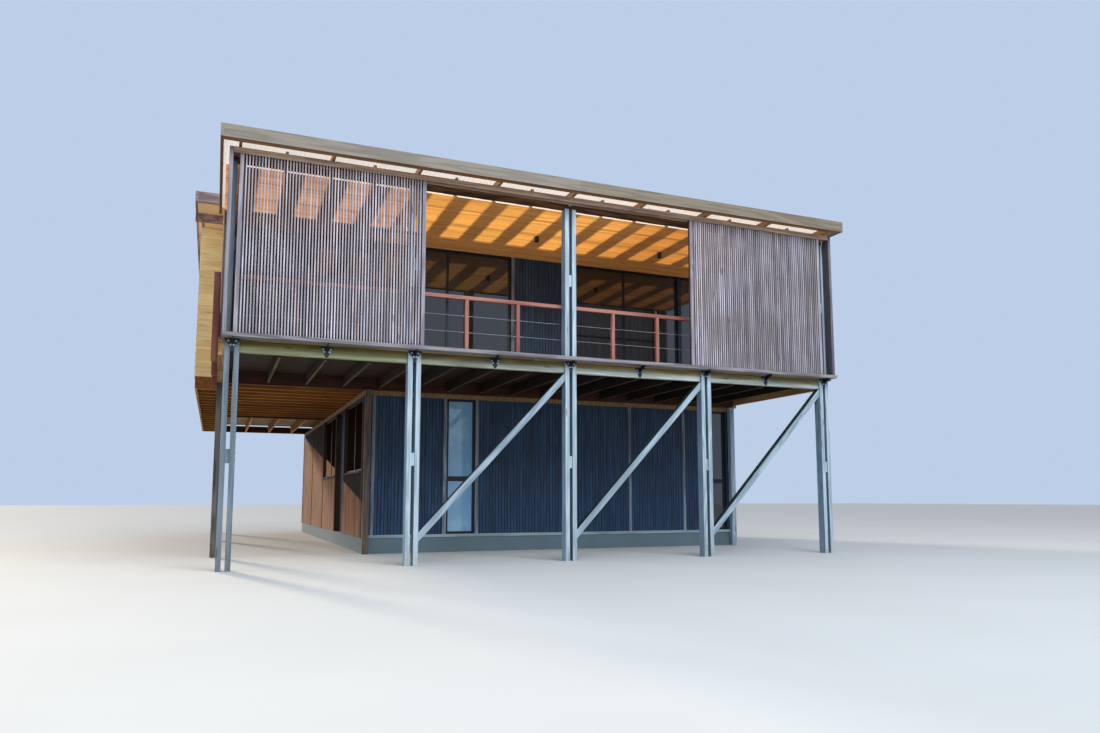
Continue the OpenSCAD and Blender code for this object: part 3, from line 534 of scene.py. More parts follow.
# Painted shade on the rails behind the slats; the fronts of the stiles stay light.
RAIL_TIMBER = timber("rail_timber", "8c8288", "b0a6ac", "4c423c",
                     fades=[("Y", -0.12, -0.118, "606068")])
ZINC = metal("zinc_bolts", "8f9598", "b9bfc2", (0.3, 0.5), 0.9, (40.0, 40.0, 40.0))
LINING = metal("painted_lining", "e0b888", "f4cfa0", (0.7, 0.85), 0.0, (0.8, 0.8, 0.8))
# The panes at the front's left carry a painted reflection of the sky.
FRONT_GLASS = window_glass("sky_glass", "7fb0d0", "a8cce0", 1.85, clear=0.1)
# Beside the carport the panes are painted in sunlight below the slanting line and in shade above
# it.
SHADED_GLASS = window_glass("shaded_glass", "b48c6a", "c89e7c", 1.5, 0.0, 0.0,
                            fades=[(SHADE, SHADE_LINE - 0.01, SHADE_LINE + 0.02, "2c2826")])


# Meshes.

def new_object(name, mesh):
    """An object of the scene."""
    obj = bpy.data.objects.new(name, mesh)
    bpy.context.scene.collection.objects.link(obj)
    return obj


def as_mesh(bm, name):
    """The mesh that an edit mesh becomes."""
    mesh = bpy.data.meshes.new(name)
    bm.to_mesh(mesh)
    bm.free()
    return mesh


def loose_parts(mesh):
    """The number of the loose part that each vertex belongs to."""
    edges = np.empty(len(mesh.edges) * 2, np.int32)
    mesh.edges.foreach_get("vertices", edges)
    a, b = edges.reshape(-1, 2).T
    label = np.arange(len(mesh.vertices))
    while True:
        before = label.copy()
        low = np.minimum(label[a], label[b])
        np.minimum.at(label, a, low)
        np.minimum.at(label, b, low)
        label = label[label]
        if np.array_equal(before, label):
            return np.unique(label, return_inverse=True)[1]


def give_grain(mesh, seed):
    """Stores on each loose part a grain that follows its length, and a tone of its own."""
    points = np.empty(len(mesh.vertices) * 3, np.float32)
    mesh.vertices.foreach_get("co", points)
    points = points.reshape(-1, 3).astype(float)
    label = loose_parts(mesh)
    draw = np.random.default_rng(seed)
    tones = draw.random(label.max() + 1)
    grain = np.zeros_like(points)
    order = np.argsort(label, kind="stable")
    for members in np.split(order, np.flatnonzero(np.diff(label[order])) + 1):
        own = points[members]
        own = own - (own.min(0) + own.max(0)) / 2
        axes = np.linalg.eigh(own.T @ own)[1][:, ::-1]
        grain[members] = own @ axes + draw.uniform(3.0, 60.0, 3)
    if "tone" not in mesh.attributes:
        store = mesh.attributes.new("tone", "FLOAT", "POINT")
        store.data.foreach_set("value", tones[label].astype(np.float32))
    store = mesh.attributes.new("grain", "FLOAT_VECTOR", "POINT")
    store.data.foreach_set("vector", grain.astype(np.float32).ravel())


def settle(obj, material, body="house", nodes=()):
    """Gives a finished piece its material, slot and body."""
    obj.data.materials.clear()
    obj.data.materials.append(material)
    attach(obj, body)
    if nodes:
        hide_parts(*nodes)


def chamfer(mesh, width):
    """Takes the sharp edges off a mesh."""
    bm = bmesh.new()
    bm.from_mesh(mesh)
    bmesh.ops.remove_doubles(bm, verts=bm.verts, dist=0.00004)
    bmesh.ops.dissolve_limit(bm, angle_limit=math.radians(0.5), verts=bm.verts, edges=bm.edges)
    sharp = [e for e in bm.edges if len(e.link_faces) == 2
             and e.calc_face_angle(0.0) > math.radians(25)]
    bmesh.ops.bevel(bm, geom=sharp, offset=width, segments=1, affect="EDGES",
                    clamp_overlap=True)
    bm.to_mesh(mesh)
    bm.free()


def sawn(mesh, places):
    """Saws a mesh at places along X, so that the boards that meet at a corner come apart."""
    for place in places:
        both = bmesh.new()
        for side in ("clear_inner", "clear_outer"):
            bm = bmesh.new()
            bm.from_mesh(mesh)
            cut = bmesh.ops.bisect_plane(
                bm, geom=[*bm.verts, *bm.edges, *bm.faces], plane_co=(place, 0, 0),
                plane_no=(1, 0, 0), **{side: True})["geom_cut"]
            bmesh.ops.holes_fill(bm, edges=[g for g in cut if isinstance(g, bmesh.types.BMEdge)])
            half = as_mesh(bm, "half")
            both.from_mesh(half)
            bpy.data.meshes.remove(half)
        both.to_mesh(mesh)
        both.free()


def dressed(node, finish, edge, corner):
    """A copy of a CAD node with its own grain, which stands for the node. Its sharp edges are
    chamfered, and where a corner's depth is given, its boards are sawn apart there."""
    source = frame["nodes"][node]
    mesh = source.data.copy()
    chamfer(mesh, edge)
    if corner:
        low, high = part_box(node)
        sawn(mesh, (low.x + corner, high.x - corner))
    give_grain(mesh, len(node))
    settle(new_object(node + "_dressed", mesh), finish, source["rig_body"], [node])


def skinned(loops, name):
    """A helper piece with a skin over loops of points, closed at both ends."""
    bm = bmesh.new()
    loops = [[bm.verts.new(point) for point in loop] for loop in loops]
    for first, second in zip(loops, loops[1:]):
        for i in range(len(first)):
            j = (i + 1) % len(first)
            bm.faces.new((first[i], first[j], second[j], second[i]))
    bm.faces.new(loops[0])
    bm.faces.new(loops[-1])
    bmesh.ops.recalc_face_normals(bm, faces=bm.faces)
    return new_object(name, as_mesh(bm, name))


def prism(profile, name):
    """A helper piece one metre long along Z with a profile drawn in X and Y."""
    return skinned([[(x, y, z) for x, y in profile] for z in (0, 1)], name)


def lathe(rings, sides, name):
    """A helper piece turned round Z from (radius, height) pairs."""
    angles = [2 * math.pi * i / sides for i in range(sides)]
    return skinned([[(radius * math.cos(a), radius * math.sin(a), height) for a in angles]
                    for radius, height in rings], name)


# Geometry trees.

GEOMETRY, WHOLE, MATERIAL = "NodeSocketGeometry", "NodeSocketInt", "NodeSocketMaterial"


def geometry_tree(name, inputs):
    """A geometry tree that gives its result the material Finish."""
    return new_tree(name, "GeometryNodeTree",
                    {"Geometry": GEOMETRY, **inputs, "Finish": MATERIAL},
                    {"Geometry": GEOMETRY})


def end_tree(tree, given, result, geometry):
    """Makes the copies real and gives them their material."""
    real = put(tree, "GeometryNodeRealizeInstances", {"Geometry": geometry})
    last = put(tree, "GeometryNodeSetMaterial",
               {"Geometry": real.outputs["Geometry"], "Material": given["Finish"]})
    fill(tree, result, {"Geometry": last.outputs["Geometry"]})
    return tree


def toned_copies(tree, given, inputs):
    """Copies of a piece on points, each with a tone of its own."""
    placed = put(tree, "GeometryNodeInstanceOnPoints", inputs)
    draw = put(tree, "FunctionNodeRandomValue", {"Seed": given["Seed"]})
    return put(tree, "GeometryNodeStoreNamedAttribute", {
        "Geometry": placed.outputs["Instances"], "Name": "tone", "Value": draw.outputs[1],
    }, domain="INSTANCE").outputs["Geometry"]


def make_set_out():
    """Sets a piece on every point, with the size, turn and tone that the point carries."""
    tree, given, result = geometry_tree("set_out", {"Piece": "NodeSocketObject",
                                                    "Seed": WHOLE})
    piece = put(tree, "GeometryNodeObjectInfo", {"Object": given["Piece"]})
    size, turn = (put(tree, "GeometryNodeInputNamedAttribute", {"Name": name},
                      data_type="FLOAT_VECTOR").outputs["Attribute"]
                  for name in ("size", "turn"))
    rotation = put(tree, "FunctionNodeEulerToRotation", {0: turn}).outputs[0]
    return end_tree(tree, given, result, toned_copies(tree, given, {
        "Points": given["Geometry"], "Instance": piece.outputs["Geometry"],
        "Rotation": rotation, "Scale": size}))


def make_row():
    """A row of equal bars."""
    tree, given, result = geometry_tree("row_of_bars", {
        "Start": VECTOR, "Step": VECTOR, "Count": WHOLE, "Size": VECTOR, "Seed": WHOLE})
    line = put(tree, "GeometryNodeMeshLine", {
        "Count": given["Count"], "Start Location": given["Start"], "Offset": given["Step"]})
    bar = put(tree, "GeometryNodeMeshCube", {"Size": given["Size"]})
    return end_tree(tree, given, result, toned_copies(tree, given, {
        "Points": line.outputs["Mesh"], "Instance": bar.outputs["Mesh"]}))


def make_ribbed_sheet():
    """A thin closed sheet with waves across its width, centred, with its length along Y."""
    tree, given, result = geometry_tree("ribbed_sheet", {
        "Width": NUMBER, "Length": NUMBER, "Pitch": NUMBER, "Depth": NUMBER,
        "Thickness": NUMBER})
    steps = calc(tree, "MULTIPLY_ADD", calc(tree, "DIVIDE", given["Width"], given["Pitch"]),
                 8.0, 1.0)
    grid = put(tree, "GeometryNodeMeshGrid", {
        "Size X": given["Width"], "Size Y": given["Length"], "Vertices X": steps,
        "Vertices Y": 2})
    x = part(tree, put(tree, "GeometryNodeInputPosition").outputs[0], "X")
    phase = calc(tree, "DIVIDE", times(tree, x, 2 * math.pi), given["Pitch"])
    lift = times(tree, calc(tree, "SINE", phase), times(tree, given["Depth"], 0.5))
    up, down = (put(tree, "ShaderNodeCombineXYZ", {"Z": z}).outputs[0]
                for z in (lift, times(tree, given["Thickness"], -1.0)))
    waved = put(tree, "GeometryNodeSetPosition", {
        "Geometry": grid.outputs["Mesh"], "Offset": up}).outputs["Geometry"]
    walls = put(tree, "GeometryNodeExtrudeMesh", {
        "Mesh": waved, "Offset": down, "Individual": False})
    both = put(tree, "GeometryNodeJoinGeometry")
    for geometry in (walls.outputs["Mesh"], waved):
        tree.links.new(geometry, both.inputs[0])
    closed = put(tree, "GeometryNodeMergeByDistance",
                 {"Geometry": both.outputs[0], "Distance": 0.0001})
    return end_tree(tree, given, result, closed.outputs["Geometry"])


SET_OUT = make_set_out()
ROW = make_row()
RIBBED_SHEET = make_ribbed_sheet()


def grown(name, tree, inputs, base=None):
    """Runs a geometry tree and returns its result as a plain mesh object."""
    obj = new_object(name, base or bpy.data.meshes.new(name))
    modifier = obj.modifiers.new("grow", "NODES")
    modifier.node_group = tree
    sockets = {s.name: s.identifier for s in tree.interface.items_tree
               if s.item_type == "SOCKET" and s.in_out == "INPUT"}
    for key, value in inputs.items():
        modifier[sockets[key]] = value
    bpy.context.view_layer.update()
    graph = bpy.context.evaluated_depsgraph_get()
    mesh = bpy.data.meshes.new_from_object(obj.evaluated_get(graph))
    obj.modifiers.remove(modifier)
    obj.data = mesh
    mesh.name = name
    return obj


def turned(x_to, y_to):
    """The turn that takes X and Y to two given directions."""
    x, y = Vector(x_to), Vector(y_to)
    return Matrix((x, y, x.cross(y))).transposed().to_euler()


def set_out(name, piece, places, slot, finish=None, nodes=(), seed=1):
    """Places copies of a piece. Each place is (point in the house's frame, size, turn)."""
    mesh = bpy.data.meshes.new(name + "_places")
    mesh.from_pydata([tuple(Vector(p[0]) + HOUSE) for p in places], [], [])
    for key, index in (("size", 1), ("turn", 2)):
        store = mesh.attributes.new(key, "FLOAT_VECTOR", "POINT")
        store.data.foreach_set("vector", np.array(
            [tuple(p[index]) for p in places], np.float32).ravel())
    finish = finish or FINISHES[slot]
    obj = grown(name, SET_OUT, {"Piece": piece, "Seed": seed, "Finish": finish}, mesh)
    give_grain(obj.data, seed)
    bpy.data.objects.remove(piece)
    settle(obj, finish, nodes=nodes)


# Boards.

def free_spans(low, high, taken):
    """What is left of a span when others are taken out of it."""
    spans = [(low, high)]
    for start, end in taken:
        spans = [piece for a, b in spans
                 for piece in ((a, min(b, start)), (max(a, end), b)) if piece[1] > piece[0]]
    return spans


def cut_boards(length, pitch, foot, top, blocks):
    """Boards side by side along a length, cut round blocks: (start, end, foot, top) each.
    Foot and top are numbers, or functions of the place along the wall."""
    edges = sorted({b[i] for b in blocks for i in (0, 1)})
    boards = []
    for i in range(math.ceil(length / pitch - 1e-6)):
        a, b = i * pitch + BOARD_GAP / 2, min((i + 1) * pitch - BOARD_GAP / 2, length)
        a = max([a] + [q for p, q, c, d in blocks if a < q < a + LEAST_BOARD])
        b = min([b] + [p for p, q, c, d in blocks if b - LEAST_BOARD < p < b])
        cuts = [a] + [e for e in edges if a + LEAST_BOARD < e < b - LEAST_BOARD] + [b]
        for u0, u1 in zip(cuts, cuts[1:]):
            if u1 - u0 < LEAST_BOARD:
                continue
            low, high = (z((u0 + u1) / 2) if callable(z) else z for z in (foot, top))
            taken = [(c, d) for p, q, c, d in blocks if p < u1 - 1e-6 and q > u0 + 1e-6]
            boards += [(u0, u1, z0, z1) for z0, z1 in free_spans(low, high, taken)
                       if z1 - z0 > LEAST_H]
    return boards


def groove_board(groove=0.09, depth=0.6):
    """The section of a board with a V at both edges, its face towards -Y."""
    return prism([(-0.5, 0), (-0.5, depth - 1), (groove - 0.5, -1), (0.5 - groove, -1),
                  (0.5, depth - 1), (0.5, 0)], "groove_board")


def upright_boards(name, corner, heading, boards, thickness, slot, seed, finish=None):
    """Boards standing on a wall whose corner (X, Y) and heading (degrees) are given."""
    angle = math.radians(heading)
    along = Vector((math.cos(angle), math.sin(angle), 0))
    turn = turned(along, (-math.sin(angle), math.cos(angle), 0))
    places = [(Vector((*corner, z0)) + along * ((u0 + u1) / 2),
               (u1 - u0, thickness, z1 - z0), turn) for u0, u1, z0, z1 in boards]
    set_out(name, groove_board(), places, slot, finish, seed=seed)


def clad(name, corner, heading, length, foot, top, blocks, seed, slot="dark_boards",
         finish=None):
    """Covers a wall with boards, left out where the blocks are."""
    upright_boards(name, corner, heading, cut_boards(length, PITCHES[slot], foot, top, blocks),
                   BOARD_T, slot, seed, finish)


def lower_boards():
    """Dark boards round three sides of the lower storey and brown ones beside the carport."""
    depth = LOWER_REAR_Y - WALL_Y
    full = (0, 9)
    blocks = [(x - LOWER_LEFT_X, x - LOWER_LEFT_X + wide, *full)
              for wide, starts in ((TALL_WINDOW_W, TALL_WINDOWS), (BATTEN_W, FRONT_BATTENS))
              for x in starts]
    clad("lower_front_boards", (LOWER_LEFT_X, WALL_Y), 0, LOWER_W, FOOT_Z, PLATE_Z, blocks,
         seed=3, finish=FRONT_BOARDS)
    clad("lower_right_boards", (LOWER_RIGHT_X, WALL_Y), 90, depth, SLAB_Z, BEAM_Z,
         openings(depth - 2 * WALL_T, TALL_WINDOW_W, FOOT_Z, PLATE_Z, WALL_T), seed=4)
    clad("lower_rear_boards", (LOWER_RIGHT_X, LOWER_REAR_Y), 180, LOWER_W, SLAB_Z, BEAM_Z,
         openings(LOWER_W, TALL_WINDOW_W, FOOT_Z, PLATE_Z), seed=5)
    blocks = [(y, y + CARPORT_WINDOW_W, LEDGE_Z, PLATE_Z) for y in CARPORT_WINDOWS]
    far = CARPORT_WINDOWS[-1] + CARPORT_WINDOW_W
    last = LOWER_REAR_Y - BATTEN_W
    battens = (WALL_Y + WALL_T, ENTRY[1], far, (far + last) / 2, last)
    blocks += [(*ENTRY, *full)] + [(y, y + BATTEN_W, *full) for y in battens]
    blocks = [(LOWER_REAR_Y - b, LOWER_REAR_Y - a, c, d) for a, b, c, d in blocks]
    clad("carport_boards", (LOWER_LEFT_X, LOWER_REAR_Y), -90, depth, SLAB_Z, PLATE_Z, blocks,
         seed=6, slot="brown_boards")


def upper_boards():
    """Dark boards on the front, right and rear of the upper storey."""
    corner_w, corner_t, side_gap, rear_gap = 0.088, 0.018, 0.012, 0.014
    upright_boards("upper_corner_board", (-SIDE_OUT, WALL_Y), 0,
                   [(0, corner_w, DECK_Z, CEILING_Z)], corner_t, "trim_timber", seed=14)
    right_end = RIGHT_DOORS_X + 2 * LEAF_W
    blocks = [(a + SIDE_OUT, b + SIDE_OUT, 0, CEILING_Z)
              for a, b in ((-SIDE_OUT, corner_w + 2 * BOARD_GAP - SIDE_OUT),
                           (-3 * LEAF_W, BATTEN_W), (RIGHT_DOORS_X, right_end),
                           (right_end + BATTEN_W, SIDE_LIGHT_END))]
    clad("upper_front_boards", (-SIDE_OUT, WALL_Y), 0, 2 * SIDE_OUT, DECK_Z, CEILING_Z, blocks,
         seed=7, finish=FRONT_BOARDS)
    clad("upper_right_boards", (SIDE_OUT, WALL_Y), 90, REAR_Y - WALL_Y, BEAM_TOP,
         lambda u: wall_top(WALL_Y + u + DARK_PITCH) - side_gap,
         openings(REAR_Y - WIDE_Y, *UPPER_WINDOW, WIDE_Y - WALL_Y), seed=8)
    width = SIDE_OUT - WIDE_X
    clad("upper_rear_boards", (SIDE_OUT, REAR_Y), 180, width, BEAM_TOP,
         wall_top(REAR_Y) - rear_gap, openings(width, *UPPER_WINDOW), seed=9)


def lap_boards():
    """Pale weatherboards on the left side, with the step where the floor is wide."""
    windows = openings(REAR_Y - WIDE_Y, *UPPER_WINDOW, WIDE_Y)
    lap, thickness, overlap, eave_gap, least = 0.15, 0.018, 0.02, 0.0145, 0.05
    places = []
    for i in range(math.ceil((wall_top(WALL_Y) - BEAM_TOP) / lap)):
        foot = BEAM_TOP + i * lap
        head = foot + lap
        under = MAIN_UNDER_Z - RAFTER_H - eave_gap - head
        reach = MAIN_FRONT_Y + under / math.tan(MAIN_FALL)
        taken = [(a, b) for a, b, c, d in windows if c < head - overlap and d > foot + overlap]
        for x, start, end, holes in ((WIDE_X, WIDE_Y, min(REAR_Y, reach), taken),
                                     (-SIDE_OUT, WALL_Y, min(WIDE_Y, reach), [])):
            places += [((x, a, foot + lap / 2), (lap, thickness, b - a),
                        turned((0, 0, 1), (1, 0, 0)))
                       for a, b in free_spans(start, end, holes) if b - a > least]
        if head < wall_top(WIDE_Y):
            places.append(((WIDE_X, WIDE_Y, foot + lap / 2),
                           (lap, thickness, -SIDE_OUT - WIDE_X), turned((0, 0, -1), (0, 1, 0))))
    piece = prism([(-0.5, 0), (-0.5, -1), (0.5, -0.35), (0.5, 0)], "lap_board")
    set_out("left_boards", piece, places, "pale_boards", seed=10)


def lower_panes():
    """The lower panes: a painted sky reflection at the front's left, and beside the carport
    painted sunlight below a slanting line with painted shade above it.
    """
    source = frame["nodes"]["lower_glass"].data
    panes = {"carport_panes": SHADED_GLASS, "front_panes": FRONT_GLASS,
             "other_panes": FINISHES["window_glass"]}

    def home(vertex):
        x, y = (vertex.co - HOUSE).xy
        if x < LOWER_LEFT_X + WALL_T:
            return "carport_panes"
        return "front_panes" if x < 0 and y < WALL_Y + WALL_T else "other_panes"

    for name, finish in panes.items():
        bm = bmesh.new()
        bm.from_mesh(source)
        bmesh.ops.delete(bm, geom=[v for v in bm.verts if home(v) != name], context="VERTS")
        settle(new_object(name, as_mesh(bm, name)), finish,
               nodes=["lower_glass"])


def planks(name, piece, node, cuts, slot, pitch, gap, seed):
    """Rows of planks that fill a node's box. Cuts gives what is left out of a row, from its
    number and its front edge."""
    low, high = house_box(node)
    count = round((high.y - low.y) / pitch)
    step = (high.y - low.y) / count
    turn = turned((0, 1, 0), (0, 0, 1))
    places = [((a, low.y + (i + 0.5) * step, high.z), (step - gap, high.z - low.z, b - a), turn)
              for i in range(count)
              for a, b in free_spans(low.x, high.x, cuts(i, low.y + i * step + gap / 2))]
    set_out(name, piece, places, slot, nodes=[node], seed=seed)


def around(points, half):
    """Short spans about points."""
    return [(point - half, point + half) for point in points]


def floor_boards():
    """Deck boards along the front, notched round the posts, and the ceiling over them."""
    posts = around([line + side * POST_REACH for line in PAIR_LINES for side in (-1, 1)],
                   POST_W / 2)
    deck_joint, ceiling_joint = 0.0015, 0.0008
    joints = around((-4.9, -0.7, 2.8), deck_joint), around((-3.5, 0.7, 4.2), deck_joint)
    deck_board = prism([(-0.5, 0), (-0.5, -0.9), (-0.48, -1), (0.48, -1), (0.5, -0.9), (0.5, 0),
                        (0.48, 0), (-0.48, 0)], "deck_board")
    planks("deck_planks", deck_board, "deck_boards",
           lambda row, edge: (posts if edge < POST_D else []) + joints[row % 2],
           "deck_timber", pitch=0.145, gap=0.005, seed=11)
    ends = [around(pair, ceiling_joint) for pair in ((-2.1, 2.1), (-3.5, 0.7), (-0.7, 3.5))]
    planks("ceiling_planks", groove_board(0.07, 0.3), "verandah_ceiling",
           lambda row, edge: ends[row % 3], "ceiling_boards", pitch=0.09, gap=0.0006, seed=12)


# Roof sheets.

def roof_sheet(name, node, slot, fall):
    """A ribbed sheet in a roof's place."""
    low, high = house_box(node)
    sheet = grown(name, RIBBED_SHEET, {
        "Width": high.x - low.x, "Length": (high.y - low.y) / math.cos(fall), "Pitch": 0.076,
        "Depth": 0.0165, "Thickness": 0.0012, "Finish": FINISHES[slot]})
    sheet.data.transform(Matrix.Translation((low + high) / 2 + HOUSE)
                         @ Matrix.Rotation(-fall, 4, "X"))
    settle(sheet, FINISHES[slot], nodes=[node])
    sheet.data.shade_smooth()
    sheet.data.set_sharp_from_angle(angle=math.radians(50))


# Screens.

def sliding_screen(node, seed):
    """Slats in front of the rails of a sliding screen, between its full depth stiles."""
    low, high = house_box(node)
    foot = low.z + GLIDE_H
    back = low.y + SLAT_T
    inner = high.x - low.x - 2 * STILE_W
    count = math.floor((inner + SLAT_W) / SLAT_PITCH + 1e-6) - 1
    step = SLAT_W + (inner - count * SLAT_W) / (count + 1)
    start = Vector((low.x + STILE_W + step - SLAT_W / 2, low.y + SLAT_T / 2,
                    (foot + high.z) / 2)) + HOUSE
    finish = FINISHES["slat_timber"]
    slats = grown(node + "_slats", ROW, {
        "Start": start, "Step": (step, 0, 0), "Count": count,
        "Size": (SLAT_W, SLAT_T, high.z - foot), "Seed": seed, "Finish": finish})
    chamfer(slats.data, SLAT_EDGE)
    give_grain(slats.data, seed)
    settle(slats, finish, node, [node])
    bars = [(x, x + STILE_W, low.y, foot, high.z) for x in (low.x, high.x - STILE_W)]
    bars += [(low.x + STILE_W, high.x - STILE_W, back, z, z + RAIL_H)
             for z in (foot + i * (high.z - RAIL_H - foot) / 3 for i in range(4))]
    bars += [(x, x + STILE_W, back, low.z, foot)
             for x in (low.x + STILE_W, high.x - 2 * STILE_W)]
    bm = bmesh.new()
    for x0, x1, y0, z0, z1 in bars:
        y1 = back + RAIL_T
        place = Vector(((x0 + x1) / 2, (y0 + y1) / 2, (z0 + z1) / 2)) + HOUSE
        size = Matrix.Diagonal((x1 - x0, y1 - y0, z1 - z0, 1))
        bmesh.ops.create_cube(bm, size=1, matrix=Matrix.Translation(place) @ size)
    bmesh.ops.bevel(bm, geom=list(bm.edges), offset=FINE_EDGE, segments=1, affect="EDGES",
                    clamp_overlap=True)
    mesh = as_mesh(bm, node + "_rails")
    give_grain(mesh, seed + 1)
    settle(new_object(node + "_rails", mesh), RAIL_TIMBER, node)


# Fittings.

def bolt_piece():
    """A hexagonal head on a round washer, standing on its face and pointing along Z."""
    bm = bmesh.new()
    for radius, sides, low, high in ((1.0, 16, 0.0, 0.22), (0.62, 6, 0.22, 0.85)):
        bmesh.ops.create_cone(
            bm, cap_ends=True, segments=sides, radius1=radius, radius2=radius,
            depth=high - low, matrix=Matrix.Translation((0, 0, (low + high) / 2)))
    return new_object("bolt", as_mesh(bm, "bolt"))


def bolts():
    """Galvanised bolts in the brackets and through the post pairs."""
    radius, height, spread = 0.017, 0.012, 0.05
    size = (radius, radius, height)
    beam_y = (POST_D - BEAM_T) / 2
    places = []
    # At each post pair, then between them: the lines, how far forward, and how far each bolt
    # stands to the side and below the sill.
    for lines, y, marks in (
            (PAIR_LINES, -STEEL_T, ((0.055, 0.045), (0.022, 0.105))),
            ([x + BAY / 2 for x in PAIR_LINES[:-1]], beam_y - STEEL_T,
             ((0.058, 0.075), (0.042, 0.115)))):
        places += [((x + side * reach, y, SILL_Z - drop), size, turned((1, 0, 0), (0, 0, 1)))
                   for x in lines for reach, drop in marks for side in (-1, 1)]
    heights = [z + SPACER_H / 2 + step for z in SPACERS_Z for step in (-spread, spread)]
    places += [((x + side * (POST_REACH + POST_W / 2), POST_D / 2, z), size,
                turned((0, side, 0), (0, 0, 1)))
               for x in PAIR_LINES for side in (-1, 1) for z in heights]
    set_out("bolts", bolt_piece(), places, "steel_wire", ZINC)


def wire_ends():
    """Swaged ends of the balustrade wires at every baluster."""
    rings = [(0.35, 0.0), (1.0, 0.02), (1.0, 0.5), (0.8, 0.6), (0.62, 0.97), (0.35, 1.0)]
    radius, length = 0.006, 0.055
    under_rail = house_box("balustrade")[1].z - RAIL_W
    y = POST_D + RAIL_GAP + RAIL_W / 2
    pitch = BAY / 3
    places = []
    for i in (1, 2, 3):
        z = under_rail - i * WIRE_PITCH
        places += [((x + side * RAIL_W / 2, y, z), (radius, radius, length),
                    turned((0, 1, 0), (0, 0, side)))
                   for x in (n * pitch for n in range(-6, 7)) for side in (-1, 1)
                   if abs(x + side * pitch) < PAIR_LINES[-1] + pitch / 2]
    set_out("wire_ends", lathe(rings, 10, "wire_end"), places, "steel_wire")


def downlights():
    """Downlights with a rim and a set back lens."""
    low, high = house_box("ceiling_lights")
    rings = [(0.0001, 0.25), (0.36, 0.25), (0.40, 0.0), (0.47, 0.0), (0.5, 0.03), (0.5, 1.0),
             (0.0001, 1.0)]
    places = [((x, (low.y + high.y) / 2, low.z), (LIGHT_D, LIGHT_D, high.z - low.z), (0, 0, 0))
              for x in PAIR_LINES[1:-1]]
    set_out("downlights", lathe(rings, 28, "downlight"), places, "black_steel",
            nodes=["ceiling_lights"])


# Pieces.

# The finishes of the nodes whose own solids are dressed.
DRESSED = {
    # Painted shade on the posts' sides and on the posts at the far left.
    "front_posts": timber("front_posts", "98a8b0", "c3d0d6", "6d6a5c", "a3b0ac", splash=0.5,
                          tints=[("X", 0, "c8d8ea")], fades=[("X", -5.2, -5.4, "b4b7bb")]),
    "carport_posts": timber("shaded_posts", "4c4842", "77716a", "35312c", splash=0.4),
    # Painted shade on the braces' sides.
    "braces": timber("brace_timber", "87979f", "adbac2", "6d6a5c",
                     tints=[("XZ", 0, "5c6a66")]),
    # Painted shadow of the sill on the top of the beam, and painted shade towards the left.
    "front_beam": timber("edge_beam", "a9aea6", "d6dad0", "5f5536", "8a8f80",
                         fades=[("Z", 3.32, 3.44, "b09048"), ("X", 1, -4, "c8c498")]),
    # Painted shade on the faces of the cross beams that face along Y.
    "cross_beams": timber("cross_beams", "6a4420", "8c602e", "2e2010",
                          tints=[("Y", 0, "8a663a")]),
    "side_beams": SAWN_TIMBER,
    # Painted shade on the sides of the front joists.
    "front_joists": timber("front_joists", "4a3722", "6e5335", "2e2216",
                           tints=[("X", 0, "6c5c50"), ("Y", 0, "706050")]),
    # Painted light: the bright orange of the middle and rear joists is warm light on their
    # undersides, and their sides carry painted shade.
    "middle_joists": timber("middle_joists", "c88a38", "e8b450", "5e3e20",
                            tints=[("XY", 0, "9c7e60")]),
    "rear_joists": timber("rear_joists", "da9637", "f6c050", "6e4e20",
                          tints=[("XY", 0, "9c8c80")]),
    "roof_beam": timber("roof_beam", "3d2410", "6e4522", "1e1610"),
    "rafters": timber("rafters", "84603c", "a87c50", "4e3420"),
    "main_rafters": SAWN_TIMBER,
    "screen_sill": timber("sill_boards", "746d6d", "a09898", "4c423c"),
    "screen_head": timber("head_boards", "a58773", "cbad96", "4c3c34"),
    # Painted shade on the end boards' sides, darker on those facing right, and towards the right
    # end.
    "screen_jambs": timber("end_boards", "727078", "908c91", "5c5c60",
                           tints=[("X", 1, "6a6460"), ("X", -1, "c8c8d0")],
                           fades=[("X", 5, 5.3, "d8d8d8")]),
    # Painted shade on the left end of the balustrade.
    "balustrade": timber("balustrade_wood", "884f40", "aa7260", "6c3a2a", lines=20.0,
                         roughness=(0.4, 0.6), fades=[("X", -5.6, -5.68, "c8b0a4")]),
    # Painted warm light on the plates higher than 1.2 m.
    "wall_plates": timber("plate_pine", "88969c", "aab8be", "6a5a46", "8a9496",
                          fades=[("Z", 0.8, 1.2, "f8b070")]),
    # The corner boards are painted darker and warmer towards the left, as painted light.
    "corner_posts": timber("corner_boards", "8699a3", "b4c6d0", "4a4a48", splash=0.2,
                           fades=[("X", 2, 0, "94705e")]),
    # Painted shade towards the top of the battens, and painted warm light on the battens beside
    # the carport.
    "wall_battens": timber("wall_battens", "69737f", "97a2b0", "4a4a4c",
                           fades=[("Z", 1.4, 2.8, "e8dcd0"), ("X", -2.93, -3.0, "b06c40")]),
    # Painted light and shade on the fascia: warm light on its underside, shade on its
    # right-facing ends and towards the right. The step at the middle is the second board's own
    # tone.
    "fascia": timber("weathered_fascia", "81766a", "9b8f80", "4f4a40", "868070", lines=24.0,
                     knots=0.1, tints=[("Z", -1, "e0b08a"), ("X", 1, "d9c7c8")],
                     fades=[("X", -3, 4, "fbf5ea"), ("X", 0, 0.005, "efece8")]),
    "main_fascia": timber("eave_boards", "7a6460", "a88c85", "4c423c"),
    "upper_frames": FINISHES["black_aluminium"],
    "lower_window_frames": FINISHES["black_aluminium"],
    "entry_door": timber("dark_door", "1b1613", "2f2620", roughness=(0.4, 0.55)),
    "brackets": FINISHES["black_steel"],
}
FINE_EDGED = ("upper_frames", "lower_window_frames", "entry_door", "brackets")
